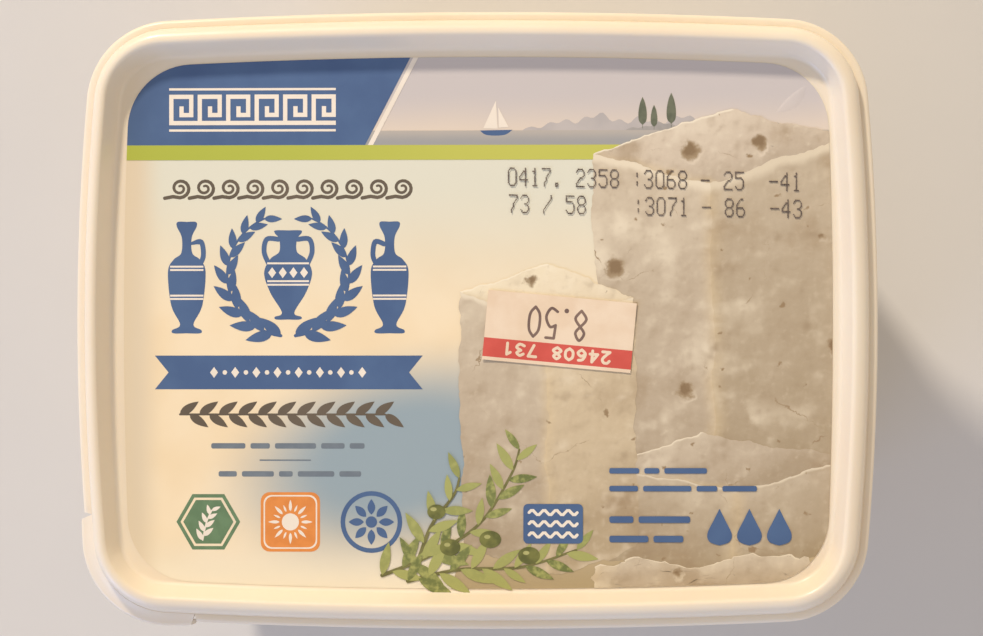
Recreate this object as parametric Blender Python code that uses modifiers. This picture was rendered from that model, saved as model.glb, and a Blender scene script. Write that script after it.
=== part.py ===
"""A shut cheese tub: a moulded tub, its press-on lid, a printed label film and a price sticker.

The tub stands on its foot ring. Lengths are in metres. +X runs along the long side, +Y towards
the back of the lid and +Z up. The origin is under the middle of the tub, on the surface it
stands on.
"""

import math
from collections import namedtuple

import bmesh
import bpy
from mathutils import Vector

# Driving dimensions of the whole
LID_LENGTH = 0.140
LID_WIDTH = 0.1078
TOTAL_HEIGHT = 0.062
PLAY = 0.0003
WELD_DISTANCE = 0.00002

# Plan of the lid: round corners that run into sides with a slight bow
CORNER_RADIUS = 0.0149
END_BOW_RADIUS = 0.45
SIDE_BOW_RADIUS = 1.08
CORNER_STEPS = 10
SIDE_STEPS = 3

# Lid in section, with drops measured down from the crown and insets from the outer edge
LID_WALL = 0.0008
SKIRT_DROP = 0.0086
SKIRT_DRAFT = 0.00015
LEDGE_DROP = 0.0034
LEDGE_EDGE_RADIUS = 0.0011
SHOULDER_INSET = 0.0016
SHOULDER_RADIUS = 0.0012
CROWN_FLAT = 0.0004
CROWN_EDGE_RADIUS = 0.0009
RECESS_DEPTH = 0.0046
RECESS_SLOPE = math.radians(59)
RECESS_FOOT_RADIUS = 0.0012
ARC_STEPS = 3

# Lift tab at the front left corner of the lid, between two V notches in the skirt
TAB_REACH = 0.005
TAB_FLARE = 0.00115
TAB_END_SHARE = 0.3
TAB_DROOP = 0.0009
NOTCH_LIP = 0.00045
NOTCH_WIDTH = 0.0022
NOTCH_LENGTH = 0.0032
NOTCH_APEX_INSET = 0.0016
NOTCH_CLEARANCE = 0.0005

# Tub under the lid
COLLAR_INSET = 0.0009
COLLAR_THICKNESS = 0.0012
COLLAR_GAP = 0.0005
RIM_INSET = 0.0028
RIM_TOP_DROP = 0.0017
RIM_WALL = 0.00055
NECK_INSET = 0.0042
NECK_HEIGHT = 0.0065
BODY_TOP_INSET = 0.0054
BODY_STEP = 0.0012
BODY_CORNER_RADIUS = 0.0125
BASE_INSET = 0.0125
BASE_CORNER_RADIUS = 0.0115
BASE_EDGE_RADIUS = 0.003
BASE_EDGE_STEPS = 4
FOOT_WIDTH = 0.0035
FOOT_DRAFT = 0.0008
BASE_RECESS = 0.0008

# Label film in the lid's recess, moulded in slightly off centre
LABEL_LENGTH = 0.1236
LABEL_WIDTH = 0.0925
LABEL_CORNER_RADIUS = 0.0070
LABEL_SHIFT_X = 0.0006
LABEL_SHIFT_Y = -0.0001
LABEL_THICKNESS = 0.0002

# Price sticker, put on askew
STICKER_LENGTH = 0.026
STICKER_WIDTH = 0.0122
STICKER_X = 0.0145
STICKER_Y = -0.0019
STICKER_TURN = math.radians(-5.3)
STICKER_THICKNESS = 0.0002

CROWN_Z = TOTAL_HEIGHT
PANEL_Z = CROWN_Z - RECESS_DEPTH
SKIRT_FOOT_Z = CROWN_Z - SKIRT_DROP

# Every field is a half size or a radius, so a parallel outline takes one length off them all
Outline = namedtuple("Outline", "half_length half_width corner_radius end_bow side_bow")
RingPoint = namedtuple("RingPoint", "place outward tab_share")

LID_OUTLINE = Outline(LID_LENGTH / 2, LID_WIDTH / 2, CORNER_RADIUS, END_BOW_RADIUS, SIDE_BOW_RADIUS)


def clear_scene():
    """Remove every object of the open file."""
    for thing in list(bpy.data.objects):
        bpy.data.objects.remove(thing, do_unlink=True)


def make_collection(name):
    """A new collection in the scene."""
    collection = bpy.data.collections.new(name)
    bpy.context.scene.collection.children.link(collection)
    return collection


def make_material(name, colour, roughness):
    """A plain plastic or paper surface of one linear colour."""
    material = bpy.data.materials.new(name)
    material.use_nodes = True
    shader = material.node_tree.nodes["Principled BSDF"]
    shader.inputs["Base Color"].default_value = (*colour, 1.0)
    shader.inputs["Roughness"].default_value = roughness
    shader.inputs["Metallic"].default_value = 0.0
    return material


def make_object(name, mesh, collection, material=None):
    """An object for a mesh, in one collection."""
    thing = bpy.data.objects.new(name, mesh)
    collection.objects.link(thing)
    if material:
        mesh.materials.append(material)
    return thing


def inset(outline, distance):
    """The parallel outline that lies a distance further in."""
    return Outline(*(length - distance for length in outline))


def corner_centre(outline):
    """Centre of the corner arc that touches both bowed sides, in the +X +Y quarter."""
    end_centre = Vector((outline.half_length - outline.end_bow, 0.0))
    side_centre = Vector((0.0, outline.half_width - outline.side_bow))
    end_reach = outline.end_bow - outline.corner_radius
    side_reach = outline.side_bow - outline.corner_radius
    apart = side_centre - end_centre
    along = (end_reach**2 - side_reach**2 + apart.length_squared) / (2 * apart.length)
    across = math.sqrt(end_reach**2 - along**2)
    direction = apart.normalized()
    return end_centre + along * direction + across * Vector((-direction.y, direction.x))


def side_distances(half_side):
    """Distances from a corner to the middle of a side, with two points close at the notch."""
    near = TAB_REACH - NOTCH_LIP
    far = TAB_REACH + NOTCH_LIP
    plain = [far + (half_side - far) * step / SIDE_STEPS for step in range(1, SIDE_STEPS + 1)]
    return [near, far] + plain


def tab_share(distance, tab_length):
    """How far the lift tab flares at a distance along it, from none outside to one in its middle."""
    if distance < -NOTCH_LIP or distance > tab_length + NOTCH_LIP:
        return 0.0
    swell = max(0.0, math.sin(math.pi * distance / tab_length))
    return TAB_END_SHARE + (1.0 - TAB_END_SHARE) * math.sqrt(swell)


def quarter_ring(outline):
    """Points of the +X +Y quarter of an outline, from the +X end to just before the +Y side's middle."""
    end_centre = Vector((outline.half_length - outline.end_bow, 0.0))
    side_centre = Vector((0.0, outline.half_width - outline.side_bow))
    corner = corner_centre(outline)
    end_turn = math.atan2(corner.y - end_centre.y, corner.x - end_centre.x)
    side_turn = math.atan2(corner.y - side_centre.y, corner.x - side_centre.x)
    corner_length = outline.corner_radius * (side_turn - end_turn)
    tab_start = TAB_REACH - NOTCH_LIP
    tab_length = corner_length + 2 * tab_start
    points = []

    def add(centre, radius, turn, distance):
        outward = Vector((math.cos(turn), math.sin(turn)))
        points.append(RingPoint(centre + radius * outward, outward, tab_share(distance, tab_length)))

    for back in reversed(side_distances(outline.end_bow * end_turn)):
        add(end_centre, outline.end_bow, end_turn - back / outline.end_bow, tab_start - back)
    for step in range(CORNER_STEPS + 1):
        turn = end_turn + (side_turn - end_turn) * step / CORNER_STEPS
        add(corner, outline.corner_radius, turn, tab_start + outline.corner_radius * (turn - end_turn))
    half_side = outline.side_bow * (math.pi / 2 - side_turn)
    for ahead in side_distances(half_side)[:-1]:
        turn = side_turn + ahead / outline.side_bow
        add(side_centre, outline.side_bow, turn, tab_start + corner_length + ahead)
    return points


def mirrored(points, sign_x, sign_y):
    """Quarter points flipped into another quarter, with the lift tab kept in the -X -Y one only."""
    has_tab = sign_x < 0 and sign_y < 0
    flipped = []
    for point in points:
        place = Vector((point.place.x * sign_x, point.place.y * sign_y))
        outward = Vector((point.outward.x * sign_x, point.outward.y * sign_y))
        flipped.append(RingPoint(place, outward, point.tab_share if has_tab else 0.0))
    return flipped


def whole_ring(outline):
    """All points of an outline, anticlockwise from the middle of the +X end."""
    quarter = quarter_ring(outline)
    side_middle = RingPoint(Vector((0.0, outline.half_width)), Vector((0.0, 1.0)), 0.0)
    to_side = quarter + [side_middle]
    back = list(reversed(to_side[1:]))
    return mirrored(quarter, 1, 1) + mirrored(back, -1, 1) + mirrored(quarter, -1, -1) + mirrored(back, 1, -1)


def level_ring(outline, height, flare=0.0, droop=0.0):
    """An outline's points at a height, pushed out and down where the lift tab is."""
    return [
        (
            point.place.x + point.outward.x * flare * point.tab_share,
            point.place.y + point.outward.y * flare * point.tab_share,
            height - droop * point.tab_share,
        )
        for point in whole_ring(outline)
    ]


def loft(rings, close_start):
    """A mesh through rings of equal counts, closed over the last ring and, if asked, the first."""
    shape = bmesh.new()
    levels = [[shape.verts.new(place) for place in ring] for ring in rings]
    for lower, upper in zip(levels, levels[1:]):
        for index, corner in enumerate(lower):
            following = (index + 1) % len(lower)
            shape.faces.new((corner, lower[following], upper[following], upper[index]))
    shape.faces.new(levels[-1])
    if close_start:
        shape.faces.new(reversed(levels[0]))
    mesh = bpy.data.meshes.new("loft")
    shape.to_mesh(mesh)
    shape.free()
    return mesh


def arc(centre_inset, centre_height, radius, start, end, steps):
    """Points of an arc in section, as pairs of inset and height, with angles from straight up."""
    pairs = []
    for step in range(steps + 1):
        turn = start + (end - start) * step / steps
        pairs.append((centre_inset + radius * math.sin(turn), centre_height + radius * math.cos(turn)))
    return pairs


def recess_foot_inset():
    """Inset at which the sloping wall of the recess has become the flat panel."""
    rounding = (CROWN_EDGE_RADIUS + RECESS_FOOT_RADIUS) * (1 - math.cos(RECESS_SLOPE))
    run = (RECESS_DEPTH - rounding) / math.tan(RECESS_SLOPE)
    crown_edge = SHOULDER_INSET + SHOULDER_RADIUS + CROWN_FLAT
    return crown_edge + (CROWN_EDGE_RADIUS + RECESS_FOOT_RADIUS) * math.sin(RECESS_SLOPE) + run


def lid_rings():
    """Rings of the lid's upper skin, from the foot of the skirt over the crown to the panel."""
    rings = []
    edge_centre = CROWN_Z - LEDGE_DROP - LEDGE_EDGE_RADIUS
    skirt = [(0.0, SKIRT_FOOT_Z)]
    edge = arc(SKIRT_DRAFT + LEDGE_EDGE_RADIUS, edge_centre, LEDGE_EDGE_RADIUS, -math.pi / 2, 0.0, ARC_STEPS)
    for distance, height in skirt + edge:
        rings.append(level_ring(inset(LID_OUTLINE, distance), height, TAB_FLARE, TAB_DROOP))

    shoulder_centre = SHOULDER_INSET + SHOULDER_RADIUS
    crown_edge = shoulder_centre + CROWN_FLAT
    ledge_foot = [(SHOULDER_INSET - SKIRT_DRAFT, CROWN_Z - LEDGE_DROP)]
    shoulder = arc(shoulder_centre, CROWN_Z - SHOULDER_RADIUS, SHOULDER_RADIUS, -math.pi / 2, 0.0, ARC_STEPS + 1)
    crown = arc(crown_edge, CROWN_Z - CROWN_EDGE_RADIUS, CROWN_EDGE_RADIUS, 0.0, RECESS_SLOPE, ARC_STEPS)
    foot_centre = PANEL_Z + RECESS_FOOT_RADIUS
    foot = arc(
        recess_foot_inset(),
        foot_centre,
        RECESS_FOOT_RADIUS,
        math.pi + RECESS_SLOPE,
        math.pi,
        ARC_STEPS,
    )
    for distance, height in ledge_foot + shoulder + crown + foot:
        rings.append(level_ring(inset(LID_OUTLINE, distance), height))
    return rings


def notch_places():
    """Places and outward directions of the two notches, where the lift tab ends."""
    quarter = quarter_ring(LID_OUTLINE)
    lips = [index for index, point in enumerate(quarter) if point.tab_share > 0.0]
    pairs = ((lips[0] - 1, lips[0]), (lips[-1], lips[-1] + 1))
    places = []
    for before, after in pairs:
        place = (quarter[before].place + quarter[after].place) / 2
        outward = (quarter[before].outward + quarter[after].outward) / 2
        places.append((-place, -outward))
    return places


def move_to(thing, collection):
    """Take an object out of its collections and put it into one."""
    for holder in list(thing.users_collection):
        holder.objects.unlink(thing)
    collection.objects.link(thing)


def make_notch_cutter(name, place, outward, cutters):
    """A three-sided prism whose edge points into the skirt."""
    bpy.ops.mesh.primitive_cylinder_add(vertices=3, radius=1.0, depth=SKIRT_DROP)
    cutter = bpy.context.object
    cutter.name = name
    # A triangle in a circle of radius 1 is 1.5 deep and the square root of 3 wide
    tip_distance = NOTCH_LENGTH / 1.5
    for corner in cutter.data.vertices:
        corner.co.x *= NOTCH_WIDTH / math.sqrt(3)
        corner.co.y *= tip_distance
    direction = outward.normalized()
    centre = place + direction * (tip_distance - NOTCH_APEX_INSET)
    top = CROWN_Z - LEDGE_DROP + NOTCH_CLEARANCE
    cutter.location = (centre.x, centre.y, top - SKIRT_DROP / 2)
    cutter.rotation_euler.z = math.atan2(-direction.y, -direction.x) - math.pi / 2
    cutter.hide_render = True
    cutter.display_type = "WIRE"
    move_to(cutter, cutters)
    return cutter


def make_lid(parts, cutters, material):
    """The lid: one skin of even wall, with the lift tab's notches cut through its skirt."""
    lid = make_object("lid", loft(lid_rings(), close_start=False), parts, material)
    wall = lid.modifiers.new("wall", "SOLIDIFY")
    wall.thickness = LID_WALL
    wall.offset = -1.0
    wall.use_even_offset = True
    for number, (place, outward) in enumerate(notch_places(), start=1):
        notch = lid.modifiers.new(f"notch_{number}", "BOOLEAN")
        notch.operation = "DIFFERENCE"
        notch.solver = "EXACT"
        notch.object = make_notch_cutter(f"notch_cutter_{number}", place, outward, cutters)
    return lid


def tub_rings():
    """Rings of the tub, from the recess in its base up its side, over the rim and in under the lid."""
    base = inset(LID_OUTLINE, BASE_INSET)._replace(corner_radius=BASE_CORNER_RADIUS)
    body_top = inset(LID_OUTLINE, BODY_TOP_INSET)._replace(corner_radius=BODY_CORNER_RADIUS)
    collar_top = SKIRT_FOOT_Z - COLLAR_GAP
    collar_foot = collar_top - COLLAR_THICKNESS
    neck_foot = collar_foot - NECK_HEIGHT
    body_top_z = neck_foot - BODY_STEP
    foot_inset = BASE_EDGE_RADIUS + FOOT_WIDTH

    rings = [
        level_ring(inset(base, foot_inset + FOOT_DRAFT), BASE_RECESS),
        level_ring(inset(base, foot_inset), 0.0),
    ]
    base_edge = arc(BASE_EDGE_RADIUS, BASE_EDGE_RADIUS, BASE_EDGE_RADIUS, -math.pi, -math.pi / 2, BASE_EDGE_STEPS)
    for distance, height in base_edge:
        rings.append(level_ring(inset(base, distance), height))
    rings.append(level_ring(body_top, body_top_z))

    neck = inset(LID_OUTLINE, NECK_INSET)._replace(corner_radius=BODY_CORNER_RADIUS)
    rings.append(level_ring(neck, neck_foot))
    rings.append(level_ring(neck, collar_foot))

    foot_centre = PANEL_Z + RECESS_FOOT_RADIUS
    under_panel = arc(
        recess_foot_inset(),
        foot_centre,
        RECESS_FOOT_RADIUS + LID_WALL + PLAY,
        math.pi + RECESS_SLOPE,
        math.pi,
        ARC_STEPS,
    )
    inside_lid = [
        (COLLAR_INSET, collar_foot),
        (COLLAR_INSET, collar_top),
        (RIM_INSET, collar_top),
        (RIM_INSET, CROWN_Z - RIM_TOP_DROP),
        (RIM_INSET + RIM_WALL, CROWN_Z - RIM_TOP_DROP),
    ]
    for distance, height in inside_lid + under_panel:
        rings.append(level_ring(inset(LID_OUTLINE, distance), height))
    return rings


def make_tub(parts, material):
    """The shut tub: a drafted body under a neck, a collar and the rim that the lid grips."""
    return make_object("tub", loft(tub_rings(), close_start=True), parts, material)


def make_label(parts, material):
    """The printed film that lies in the lid's recess."""
    outline = Outline(LABEL_LENGTH / 2, LABEL_WIDTH / 2, LABEL_CORNER_RADIUS, END_BOW_RADIUS, SIDE_BOW_RADIUS)
    points = [point.place for point in whole_ring(outline)]
    curve = bpy.data.curves.new("label_outline", "CURVE")
    curve.dimensions = "2D"
    curve.fill_mode = "BOTH"
    curve.extrude = LABEL_THICKNESS / 2
    line = curve.splines.new("POLY")
    line.points.add(len(points) - 1)
    for spot, place in zip(line.points, points):
        spot.co = (place.x, place.y, 0.0, 1.0)
    line.use_cyclic_u = True
    drawn = bpy.data.objects.new("label_outline", curve)
    parts.objects.link(drawn)
    mesh = bpy.data.meshes.new_from_object(drawn.evaluated_get(bpy.context.evaluated_depsgraph_get()))
    bpy.data.objects.remove(drawn, do_unlink=True)
    shape = bmesh.new()
    shape.from_mesh(mesh)
    bmesh.ops.remove_doubles(shape, verts=shape.verts, dist=WELD_DISTANCE)
    bmesh.ops.recalc_face_normals(shape, faces=shape.faces)
    shape.to_mesh(mesh)
    shape.free()
    label = make_object("label", mesh, parts, material)
    label.location = (LABEL_SHIFT_X, LABEL_SHIFT_Y, PANEL_Z + PLAY + LABEL_THICKNESS / 2)
    return label


def make_sticker(parts, material):
    """The paper price sticker, stuck askew on the label."""
    bpy.ops.mesh.primitive_cube_add(size=1.0)
    sticker = bpy.context.object
    sticker.name = "price_sticker"
    for corner in sticker.data.vertices:
        corner.co.x *= STICKER_LENGTH
        corner.co.y *= STICKER_WIDTH
        corner.co.z *= STICKER_THICKNESS
    label_top = PANEL_Z + PLAY + LABEL_THICKNESS
    sticker.location = (STICKER_X, STICKER_Y, label_top + PLAY + STICKER_THICKNESS / 2)
    sticker.rotation_euler.z = STICKER_TURN
    sticker.data.materials.append(material)
    move_to(sticker, parts)
    return sticker


def main():
    """Model the tub and what is on it."""
    clear_scene()
    parts = make_collection("cheese_tub")
    cutters = make_collection("cutters")
    tub_plastic = make_material("tub_plastic", (0.90, 0.80, 0.63), 0.45)
    lid_plastic = make_material("lid_plastic", (0.92, 0.82, 0.65), 0.40)
    label_film = make_material("label_film", (0.85, 0.80, 0.62), 0.35)
    sticker_paper = make_material("sticker_paper", (0.86, 0.74, 0.62), 0.70)
    make_tub(parts, tub_plastic)
    make_lid(parts, cutters, lid_plastic)
    make_label(parts, label_film)
    make_sticker(parts, sticker_paper)


main()
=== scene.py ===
# %% [markdown]
# A shut cheese tub, seen from above
#
# The real object is a rectangular tub for a block of cheese in brine. Its lid is one moulding with
# a raised rim and a sunk panel, and a printed film lies in the panel. The shop has put a paper
# price sticker on the film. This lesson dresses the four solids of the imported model: it makes a
# fine lid and tub, prints the film with shapes of ink, and gives each piece a procedural finish.
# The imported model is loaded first, because every piece takes its place and size from it.

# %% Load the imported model
from collections import namedtuple
from math import atan2, cos, dist, pi, radians, sin, sqrt, tan

import bmesh
import bpy
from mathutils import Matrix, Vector, geometry


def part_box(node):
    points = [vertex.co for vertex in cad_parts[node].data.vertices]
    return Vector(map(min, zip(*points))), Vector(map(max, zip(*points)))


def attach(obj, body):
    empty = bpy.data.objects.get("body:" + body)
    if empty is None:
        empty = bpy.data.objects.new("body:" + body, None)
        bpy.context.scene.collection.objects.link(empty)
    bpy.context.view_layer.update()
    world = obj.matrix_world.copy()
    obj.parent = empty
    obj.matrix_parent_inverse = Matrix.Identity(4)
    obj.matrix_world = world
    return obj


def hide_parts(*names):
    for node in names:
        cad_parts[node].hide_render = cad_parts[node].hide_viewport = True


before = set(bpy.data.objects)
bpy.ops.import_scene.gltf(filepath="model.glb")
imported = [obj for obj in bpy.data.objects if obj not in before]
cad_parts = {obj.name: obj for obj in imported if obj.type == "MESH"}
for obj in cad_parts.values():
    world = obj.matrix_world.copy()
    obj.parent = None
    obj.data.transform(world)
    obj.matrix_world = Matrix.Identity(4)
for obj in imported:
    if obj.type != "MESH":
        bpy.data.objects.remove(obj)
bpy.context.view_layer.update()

MM = 0.001
LID_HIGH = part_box("lid")[1]
LABEL_LOW, LABEL_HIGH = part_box("label")
STICKER_LOW, STICKER_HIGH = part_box("price_sticker")
print("nodes", sorted(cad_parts))
for name, corners in (("lid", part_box("lid")), ("label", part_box("label"))):
    print(name, [[round(length / MM, 2) for length in corner] for corner in corners], "mm")

# %% [markdown]
# Small tools for the whole lesson
#
# Colours are easiest to read off a photo as sRGB hex values, but a shader wants linear light, so
# one function turns them round. Node trees get long if every link takes a line, so a second
# function adds a node with its settings and its links in one call. A key that is a property of the
# node is set on the node, any other key names an input, and a value may be another node to link.
# The kinds of node that come up most get a short name.

# %% Colours and nodes
MATH = "ShaderNodeMath"
VECTOR_MATH = "ShaderNodeVectorMath"
NOISE = "ShaderNodeTexNoise"
MAP_RANGE = "ShaderNodeMapRange"
MIX = "ShaderNodeMix"
SEPARATE = "ShaderNodeSeparateXYZ"


def linear(hex_colour):
    """A linear RGBA colour from an sRGB hex value."""
    parts = [int(hex_colour[place:place + 2], 16) / 255 for place in (0, 2, 4)]
    return [part / 12.92 if part <= 0.04045 else ((part + 0.055) / 1.055) ** 2.4 for part in parts] + [1.0]


def connect(tree, source, socket):
    """Link an output, or a node's first live output, to an input."""
    if isinstance(source, bpy.types.Node):
        source = next(output for output in source.outputs if output.enabled)
    tree.links.new(source, socket)


def add_node(tree, kind, settings=None):
    """Add one node, with its properties, its numbers and the nodes that feed it."""
    node = tree.nodes.new(kind)
    for key, value in (settings or {}).items():
        if isinstance(key, str) and key in node.bl_rna.properties:
            setattr(node, key, value)
            continue
        live = ((number, item) for number, item in enumerate(node.inputs) if item.enabled)
        socket = next(item for number, item in live if key in (number, item.name))
        if isinstance(value, (bpy.types.Node, bpy.types.NodeSocket, list)):
            for source in value if isinstance(value, list) else [value]:
                connect(tree, source, socket)
        else:
            socket.default_value = linear(value) if socket.type == "RGBA" else value
    return node


print("mid grey is", round(linear("808080")[0], 3), "in linear light")

# %% Materials, meshes and pieces
SHARP_ANGLE = radians(35)


def start_material(name, constants):
    """A new material, its tree, its shader with the constants set, and the place."""
    material = bpy.data.materials.new(name)
    material.use_nodes = True
    tree = material.node_tree
    shader = tree.nodes["Principled BSDF"]
    for key, value in constants.items():
        shader.inputs[key].default_value = value
    return material, tree, shader, add_node(tree, "ShaderNodeTexCoord").outputs["Object"]


def mesh_object(name, mesh):
    """An object at the origin for a finished mesh."""
    thing = bpy.data.objects.new(name, mesh)
    bpy.context.scene.collection.objects.link(thing)
    return thing


def kept_mesh(name, shape):
    """A new mesh from a finished bmesh shape."""
    mesh = bpy.data.meshes.new(name)
    shape.to_mesh(mesh)
    shape.free()
    return mesh


def finish_piece(thing, material=None, replaced=None):
    """Shade a piece, give it its material, and hand it to the frame."""
    if material:
        thing.data.materials.clear()
        thing.data.materials.append(material)
    thing.data.shade_smooth()
    thing.data.set_sharp_from_angle(angle=SHARP_ANGLE)
    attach(thing, "root")
    if replaced:
        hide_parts(replaced)
    print(thing.name, "has", len(thing.data.polygons), "faces")


# %% [markdown]
# Camera
#
# The photo was taken by hand from about 40 cm, almost straight above the lid, with the phone a
# little to the right of the middle. A pixel scale and a camera height give the lens. The camera
# stands off centre and the rest of the framing is a small lens shift, because turning the camera
# instead would give the straight sides of the lid a slant that the photo doesn't have.

# %% Camera
IMAGE_WIDTH = 983
IMAGE_HEIGHT = 636
PANEL_CENTRE_PIXEL = (476.5, 320.6)
PIXELS_PER_MM = 5.725
SENSOR_WIDTH = 36.0
CAMERA_HEIGHT = 0.400
CAMERA_FOOT = (0.030, -0.010)
CAMERA_TILT = radians(1.18)
CROWN_Z = LID_HIGH.z
RECESS_DEPTH = 4.6 * MM
PANEL_Z = CROWN_Z - RECESS_DEPTH

axis_reach = CAMERA_FOOT[0] - CAMERA_HEIGHT * tan(CAMERA_TILT)
centre_x = (IMAGE_WIDTH / 2 - PANEL_CENTRE_PIXEL[0]) / PIXELS_PER_MM * MM
centre_y = (PANEL_CENTRE_PIXEL[1] - IMAGE_HEIGHT / 2) / PIXELS_PER_MM * MM
view_depth = CAMERA_HEIGHT * cos(CAMERA_TILT) + CAMERA_FOOT[0] * sin(CAMERA_TILT)

lens = bpy.data.cameras.new("camera")
lens.sensor_width = SENSOR_WIDTH
lens.lens = PIXELS_PER_MM * view_depth / MM / IMAGE_WIDTH * SENSOR_WIDTH
lens.shift_x = (centre_x - axis_reach) / MM * PIXELS_PER_MM / IMAGE_WIDTH
lens.shift_y = (centre_y - CAMERA_FOOT[1]) / MM * PIXELS_PER_MM / IMAGE_WIDTH
camera = mesh_object("camera", lens)
camera.location = (CAMERA_FOOT[0], CAMERA_FOOT[1], PANEL_Z + CAMERA_HEIGHT)
camera.rotation_euler = (0.0, CAMERA_TILT, 0.0)
bpy.context.scene.camera = camera
print("lens", round(lens.lens, 1), "mm, shift", round(lens.shift_x, 3), round(lens.shift_y, 3))

# %% [markdown]
# Floor and light
#
# The floor is a plain pale sheet, and its only job is to carry the tub and its shadow. The photo
# has one warm lamp high behind the left corner: it lights the outside of the back rim and throws a
# soft shadow of the rim onto the top of the label. A disc lamp does this, and its width sets how
# soft the shadow's edge is. A low, cool panel at the front left does what a window did: it turns
# the outer slope of the front rim bluish. The sky all round is cool towards the front and warm
# behind, and it fills the shadows. The plain Standard view keeps the materials' colours as written.

# %% Lamps
Lamp = namedtuple("Lamp", "name direction distance width power colour shape")
LAMPS = (
    Lamp("key", (-0.34, 0.75, 0.555), 1.6, 0.17, 19.5, "FFF0DD", "DISK"),
    Lamp("window", (-0.7, -0.66, 0.27), 1.5, 0.8, 10.0, "B4CAFF", "SQUARE"),
    Lamp("side_fill", (0.9, -0.15, 0.35), 1.5, 1.0, 2.4, "FFE6C4", "SQUARE"),
)
for lamp in LAMPS:
    light = bpy.data.lights.new(lamp.name, "AREA")
    light.shape = lamp.shape
    light.size = lamp.width
    light.energy = lamp.power
    light.color = linear(lamp.colour)[:3]
    holder = mesh_object(lamp.name, light)
    away = Vector(lamp.direction).normalized()
    holder.location = away * lamp.distance + Vector((0.0, 0.0, PANEL_Z))
    holder.rotation_euler = away.to_track_quat("Z", "Y").to_euler()
print(len(LAMPS), "lamps")

# %% Sky
SKY_STRENGTH = 0.56
SKY_FRONT_COLOUR = "F4F3FF"
SKY_BACK_COLOUR = "FFEBCF"
SKY_TURNOVER = 0.8

sky = bpy.data.worlds.new("studio")
sky.use_nodes = True
sky_tree = sky.node_tree
background = sky_tree.nodes["Background"]
background.inputs["Strength"].default_value = SKY_STRENGTH
direction = add_node(sky_tree, "ShaderNodeTexCoord").outputs["Generated"]
towards_back = add_node(sky_tree, SEPARATE, {"Vector": direction}).outputs["Y"]
turnover = {"Value": towards_back, "From Min": -SKY_TURNOVER, "From Max": SKY_TURNOVER}
sky_share = add_node(sky_tree, MAP_RANGE, turnover)
sky_mix = {"data_type": "RGBA", "Factor": sky_share, "A": SKY_FRONT_COLOUR, "B": SKY_BACK_COLOUR}
connect(sky_tree, add_node(sky_tree, MIX, sky_mix), background.inputs["Color"])
bpy.context.scene.world = sky
bpy.context.scene.view_settings.view_transform = "Standard"
print("sky of strength", SKY_STRENGTH)

# %% Floor
FLOOR_SIZE = 4.0
FLOOR_CLOUD = 25 * MM

floor_shape = bmesh.new()
bmesh.ops.create_grid(floor_shape, x_segments=1, y_segments=1, size=FLOOR_SIZE / 2)
floor = mesh_object("floor", kept_mesh("floor", floor_shape))
painted_board, tree, shader, place = start_material("matt_painted_board", {"Roughness": 0.9})
grain = add_node(tree, NOISE, {"Scale": 1 / FLOOR_CLOUD, "Detail": 2.0, "Vector": place})
tint = add_node(tree, MIX, {"data_type": "RGBA", "Factor": grain, "A": "D2D1CE", "B": "D6D5D2"})
connect(tree, tint, shader.inputs["Base Color"])
floor.data.materials.append(painted_board)
print("floor", FLOOR_SIZE, "m wide")

# %% [markdown]
# Plan of the lid
#
# Seen from above, the real lid isn't a plain rectangle: its sides bow out a little, so that the
# moulding keeps its shape as it cools, and each corner is an arc that touches both bows. Three
# arcs a quarter draw that exactly. Each point also keeps the direction straight out of the edge,
# because the rim, the label and the tub all follow the same outline further in. The front left
# corner has the lift tab between two notches, and a share from 0 to 1 says how much of the tab's
# flare each point has.

# %% Outline of the lid
CORNER_RADIUS = 14.9 * MM
END_BOW_RADIUS = 450 * MM
SIDE_BOW_RADIUS = 1080 * MM
TAB_REACH = 5.0 * MM
TAB_FLARE = 1.15 * MM
TAB_END_SHARE = 0.52
TAB_DROOP = 0.9 * MM
NOTCH_LIP = 0.45 * MM
CORNER_STEPS = 26
SIDE_STEPS = 16

# Every field is a half size or a radius, so a parallel outline takes one length off them all.
Outline = namedtuple("Outline", "half_length half_width corner_radius end_bow side_bow")
RingPoint = namedtuple("RingPoint", "place outward tab_share")
LID_OUTLINE = Outline(LID_HIGH.x, LID_HIGH.y, CORNER_RADIUS, END_BOW_RADIUS, SIDE_BOW_RADIUS)


def inset(outline, distance):
    """The parallel outline that lies a distance further in."""
    return Outline(*(length - distance for length in outline))


def corner_centre(outline, end_centre, side_centre):
    """Centre of the corner arc that touches both bowed sides, in the +X +Y quarter."""
    end_reach = outline.end_bow - outline.corner_radius
    side_reach = outline.side_bow - outline.corner_radius
    apart = side_centre - end_centre
    along = (end_reach**2 - side_reach**2 + apart.length_squared) / (2 * apart.length)
    across = sqrt(end_reach**2 - along**2)
    direction = apart.normalized()
    return end_centre + along * direction + across * Vector((-direction.y, direction.x))


print("the lid is", round(2 * LID_HIGH.x / MM, 1), "mm long")


# %% Lift tab and a quarter of the outline
def tab_share(distance, tab_length):
    """How far the lift tab flares at a distance along it, from none outside to one in its middle."""
    if distance < -NOTCH_LIP or distance > tab_length + NOTCH_LIP:
        return 0.0
    swell = max(0.0, sin(pi * distance / tab_length))
    return TAB_END_SHARE + (1.0 - TAB_END_SHARE) * sqrt(swell)


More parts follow.
